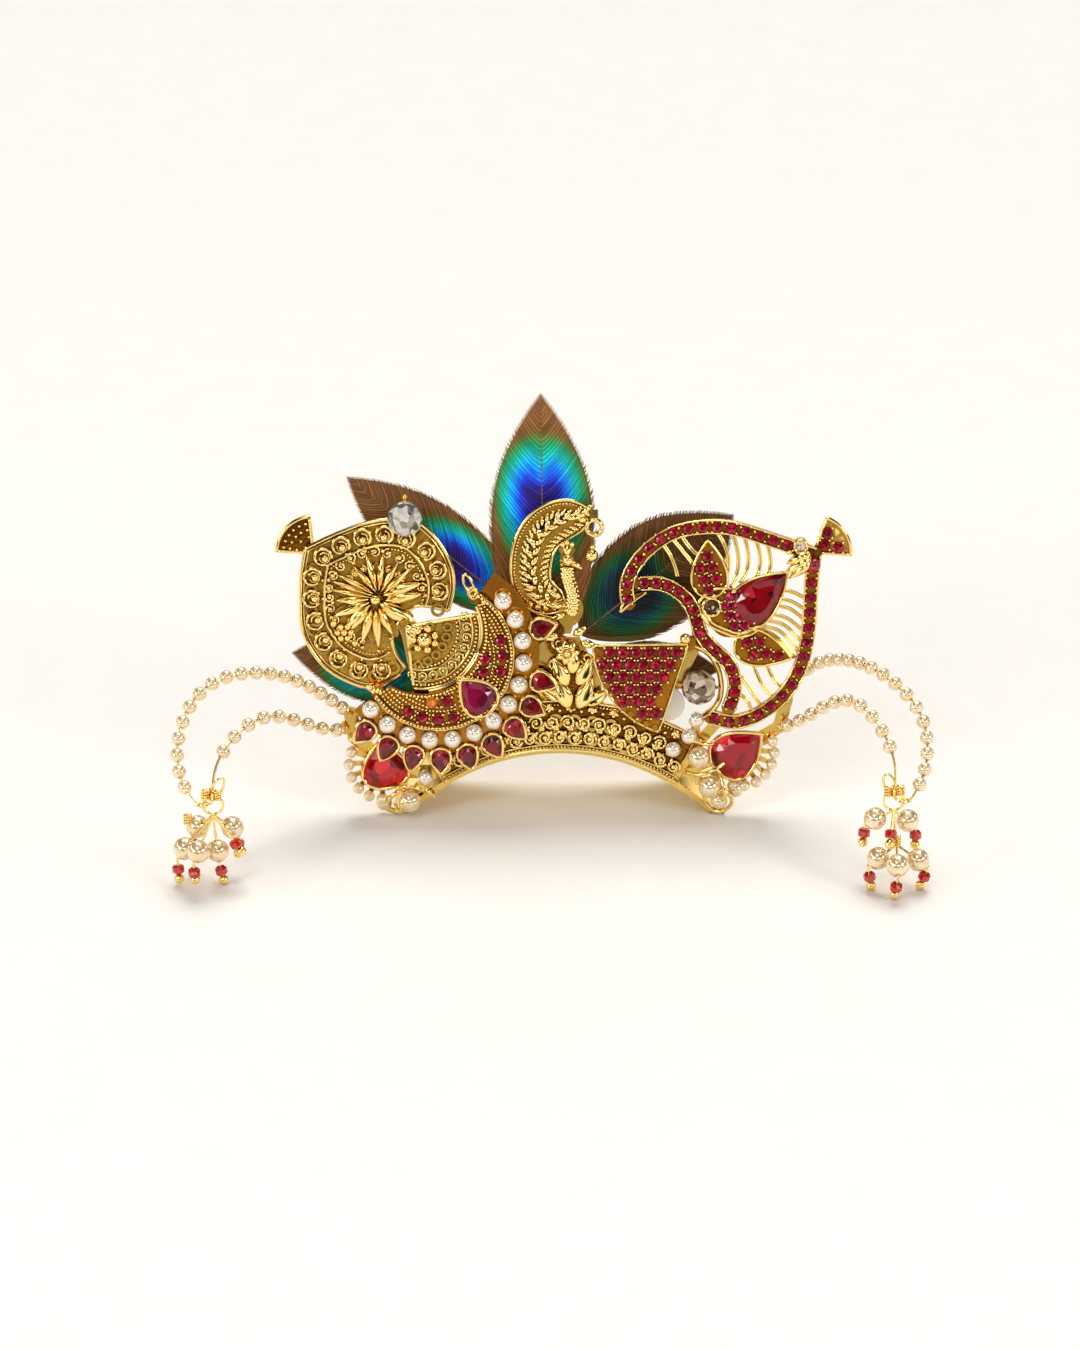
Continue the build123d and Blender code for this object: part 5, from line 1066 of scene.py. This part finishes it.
# The two clear beads: cut balls in the middle of their nodes
for name, material in crystals.items():
    corners = node_points(name)
    facets = cut_ball((corners.min(0) + corners.max(0)) / 2, 5.0 * MM)
    piece(name + "_facets", [skin(facets, to_frame=np.asarray)], material, (name,), False)

# The five feathers: barbs swept forward from a shaft, above and below a thin middle layer
Feather = namedtuple("Feather", "name foot turn length width level eye light dusky")
FEATHERS = (
    Feather("feather_centre", (-2.4, 46.0), 90.8, 74.5, 30.0, -2.9, 0.60, 0.46, False),
    Feather("feather_left", (-8.0, 56.8), 141.6, 63.8, 23.0, -4.1, 0.40, 0.34, False),
    Feather("feather_right", (8.0, 51.2), 38.7, 55.0, 31.0, -4.1, 0.36, 0.30, True),
    Feather("feather_low_left", (-22.0, 38.0), 171.2, 52.4, 23.0, -2.9, 0.60, 0.28, False),
    Feather("feather_low_right", (13.2, 44.6), -6.2, 34.4, 13.0, -2.9, 0.35, 0.24, True),
)
BARBS = 150
VANE = np.array(((0.0, 0.10), (0.04, 0.24), (0.10, 0.46), (0.17, 0.66), (0.24, 0.81), (0.32, 0.92),
                 (0.40, 0.98), (0.48, 1.0), (0.56, 0.99), (0.64, 0.93), (0.72, 0.82), (0.80, 0.65),
                 (0.88, 0.43), (0.95, 0.20), (1.0, 0.0)))


def vane_half(share):
    """Half the vane's width, as a share of its widest, at a share of its length."""
    return np.interp(share, VANE[:, 0], VANE[:, 1])


def eye_marks(feather, ahead, aside, tone):
    """For each point: distance from the eye as a share of the brown rim's, place across, and tone."""
    along_eye = ahead / feather.length - feather.eye
    reach = np.where(along_eye > 0, 0.26, 0.34)
    aslant = aside / feather.width
    distance = np.sqrt((along_eye / reach) ** 2 + (aslant / 0.47) ** 2)
    inside = np.clip(1 - distance, 0, 1)
    notch = 0.34 * np.exp(-(aslant / 0.07) ** 2) * np.clip(along_eye / 0.06, 0, 1) * inside
    lobe = -0.22 * aslant * inside
    return np.stack((0.86 * (distance + notch + lobe), aslant, tone + 0 * ahead), -1)


def on_feather(feather, ahead, aside, out):
    """Feather places to the face: along the shaft's direction and square to it from its foot."""
    angle = math.radians(feather.turn)
    across = feather.foot[0] + ahead * math.cos(angle) - aside * math.sin(angle)
    up = feather.foot[1] + ahead * math.sin(angle) + aside * math.cos(angle)
    return np.stack((across, up, feather.level + out), -1)


def barbs(feather, count, rows=10):
    """Barbs: each leaves the shaft steeply and bends forward to the vane's edge, a thin flat strip that
    narrows to its tip; every second one lies a little higher, and the lowest all start at the foot."""
    start = np.linspace(-0.32, 0.985, count)
    start = np.concatenate((start, start))[:, None, None]
    side = np.repeat((1.0, -1.0), count)[:, None, None]
    root = np.maximum(start, 0.0)
    reach = start + 0.34 * (1 - start) ** 0.8
    ragged = 1 + rng.uniform(-0.03, 0.02, root.shape)
    share = np.linspace(0, 1, rows)[None, :, None]
    ahead = feather.length * (root + (reach - root) * share ** 1.25)
    aside = side * feather.width / 2 * vane_half(reach) * ragged * share ** 0.9
    corner = np.array((1.0, 0.0, -1.0, 0.0))
    flat = np.array((0.0, 1.0, 0.0, -1.0))
    half = (0.66 * feather.length / count + 0.14) * (1 - 0.6 * share ** 4)
    height = 0.06 * np.resize((1.0, -1.0), 2 * count)[:, None, None]
    out = height + 0.08 * flat - 0.6 * (aside / feather.width) ** 2
    tone = feather.light + (0.12 + 1.2 * feather.light) * rng.uniform(0, 1, root.shape) ** 1.4
    lattice = on_feather(feather, ahead + half * corner, aside + 0 * corner, out + 0 * ahead)
    return lattice, eye_marks(feather, ahead + half * corner, aside + 0 * corner, tone)


def backing(feather, rows=40, sides=16):
    """The vane's middle layer: a flat closed lens between the upper and lower barbs, bowed back with the
    square of the distance from the shaft; its half width follows the vane and its ends draw in."""
    share = np.linspace(0, 1, rows)[:, None]
    turn = TAU * np.arange(sides) / sides
    ahead = 0.985 * feather.length * share + 0 * turn
    aside = 0.955 * feather.width / 2 * vane_half(share) * np.cos(turn)
    aside[[0, -1]] = 0.0
    out = 0.03 * np.sin(turn) * np.sin(math.pi * share) ** 0.5 - 0.6 * (aside / feather.width) ** 2
    out[[0, -1]] = 0.0
    return on_feather(feather, ahead, aside, out), eye_marks(feather, ahead, aside, feather.light)


for feather in FEATHERS:
    strips, strip_marks = barbs(feather, BARBS)
    under, under_marks = backing(feather)
    marks = np.concatenate((strip_marks.reshape(-1, 3), under_marks.reshape(-1, 3)))
    piece(feather.name + "_vane", [skin(strips), skin(under)], vane_finishes[feather.dusky],
          (feather.name,), True, marks)
    line = np.linspace(0, 0.97, 40)
    path = on_feather(feather, feather.length * line, 0 * line, 0 * line + 0.1)
    piece(feather.name + "_shaft", [skin(tube(path, 0.30 * (1 - 0.8 * line), 6))], shaft)

# Floor, light and camera
mesh = bpy.data.meshes.new("floor")
mesh.from_pydata([(-4, -3, 0), (4, -3, 0), (4, 6, 0), (-4, 6, 0)], [], [(0, 1, 2, 3)])
floor = bpy.data.objects.new("floor", mesh)
bpy.context.scene.collection.objects.link(floor)
paper, tree, shader = finish("cream_paper", Roughness=0.9, Specular_IOR_Level=0.1)
fibre = noise(tree, own_place(tree), 60.0, 4.0)
wired(tree, shader, Base_Color=ramp(tree, fibre, ((0.3, (0.84, 0.835, 0.825)), (0.7, (0.86, 0.855, 0.845)))))
mesh.materials.append(paper)

Lamp = namedtuple("Lamp", "name kind place aim size strength colour")
LAMPS = (
    Lamp("overhead", "SUN", (0.1, 0.75, 1.5), (0, 0, 0), math.radians(32), 2.25, (1.0, 0.97, 0.93)),
    Lamp("front_softbox", "AREA", (-0.7, -1.9, 3.0), (0, 0, 0.04), 0.9, 12.0, (1.0, 0.97, 0.92)),
    Lamp("left_softbox", "AREA", (-1.3, -1.0, 0.6), (0, 0, 0.05), 0.36, 6.0, (1.0, 0.97, 0.92)),
    Lamp("right_softbox", "AREA", (1.3, -0.8, 0.8), (0, 0, 0.05), 0.36, 5.0, (1.0, 0.95, 0.88)),
)
for lamp in LAMPS:
    light = bpy.data.lights.new(lamp.name, lamp.kind)
    setattr(light, "angle" if lamp.kind == "SUN" else "size", lamp.size)
    light.energy = lamp.strength
    light.color = lamp.colour
    holder = bpy.data.objects.new(lamp.name, light)
    holder.location = lamp.place
    holder.rotation_euler = (Vector(lamp.aim) - Vector(lamp.place)).to_track_quat("-Z", "Y").to_euler()
    bpy.context.scene.collection.objects.link(holder)

world = bpy.data.worlds.new("studio")
world.use_nodes = True
bpy.context.scene.world = world
sky = world.node_tree
around = node(sky, "TexCoord").outputs["Generated"]
height = node(sky, "SeparateXYZ", {"Vector": around}).outputs["Z"]
bands = ramp(sky, height, ((0.0, (1.7, 1.54, 1.26)), (0.09, (1.3, 1.16, 0.94)), (0.15, (0.02, 0.016, 0.012)),
                           (0.33, (0.02, 0.016, 0.012)), (0.38, (3.0, 2.86, 2.62)), (0.50, (3.0, 2.86, 2.62)),
                           (0.55, (0.02, 0.016, 0.012)), (0.82, (0.04, 0.035, 0.03)),
                           (0.88, (0.9, 0.86, 0.8))))
panels = noise(sky, around, 2.6, 0.0)
gaps = ramp(sky, panels, ((0.44, (0.05, 0.04, 0.03)), (0.50, (1.0, 1.0, 1.0))))
tone = node(sky, "MixRGB", {"Fac": 1.0, "Color1": bands, "Color2": gaps},
            blend_type="MULTIPLY").outputs["Color"]
sky.links.new(tone, sky.nodes["Background"].inputs["Color"])
sky.nodes["Background"].inputs["Strength"].default_value = 0.95

ELEVATION = math.radians(26.0)
DISTANCE = 1.5
HALF_VIEW = 0.189
SENSOR = 24.0
aim = Vector((-0.0056, 0.0, 0.0436))
lens = bpy.data.cameras.new("camera")
lens.sensor_fit = "VERTICAL"
lens.sensor_height = SENSOR
lens.lens = SENSOR / 2 / (HALF_VIEW / DISTANCE)
lens.clip_start = 0.01
camera = bpy.data.objects.new("camera", lens)
camera.location = aim + DISTANCE * Vector((0, -math.cos(ELEVATION), math.sin(ELEVATION)))
camera.rotation_euler = (math.radians(90) - ELEVATION, 0, 0)
bpy.context.scene.collection.objects.link(camera)
bpy.context.scene.camera = camera
bpy.context.scene.view_settings.view_transform = "Standard"
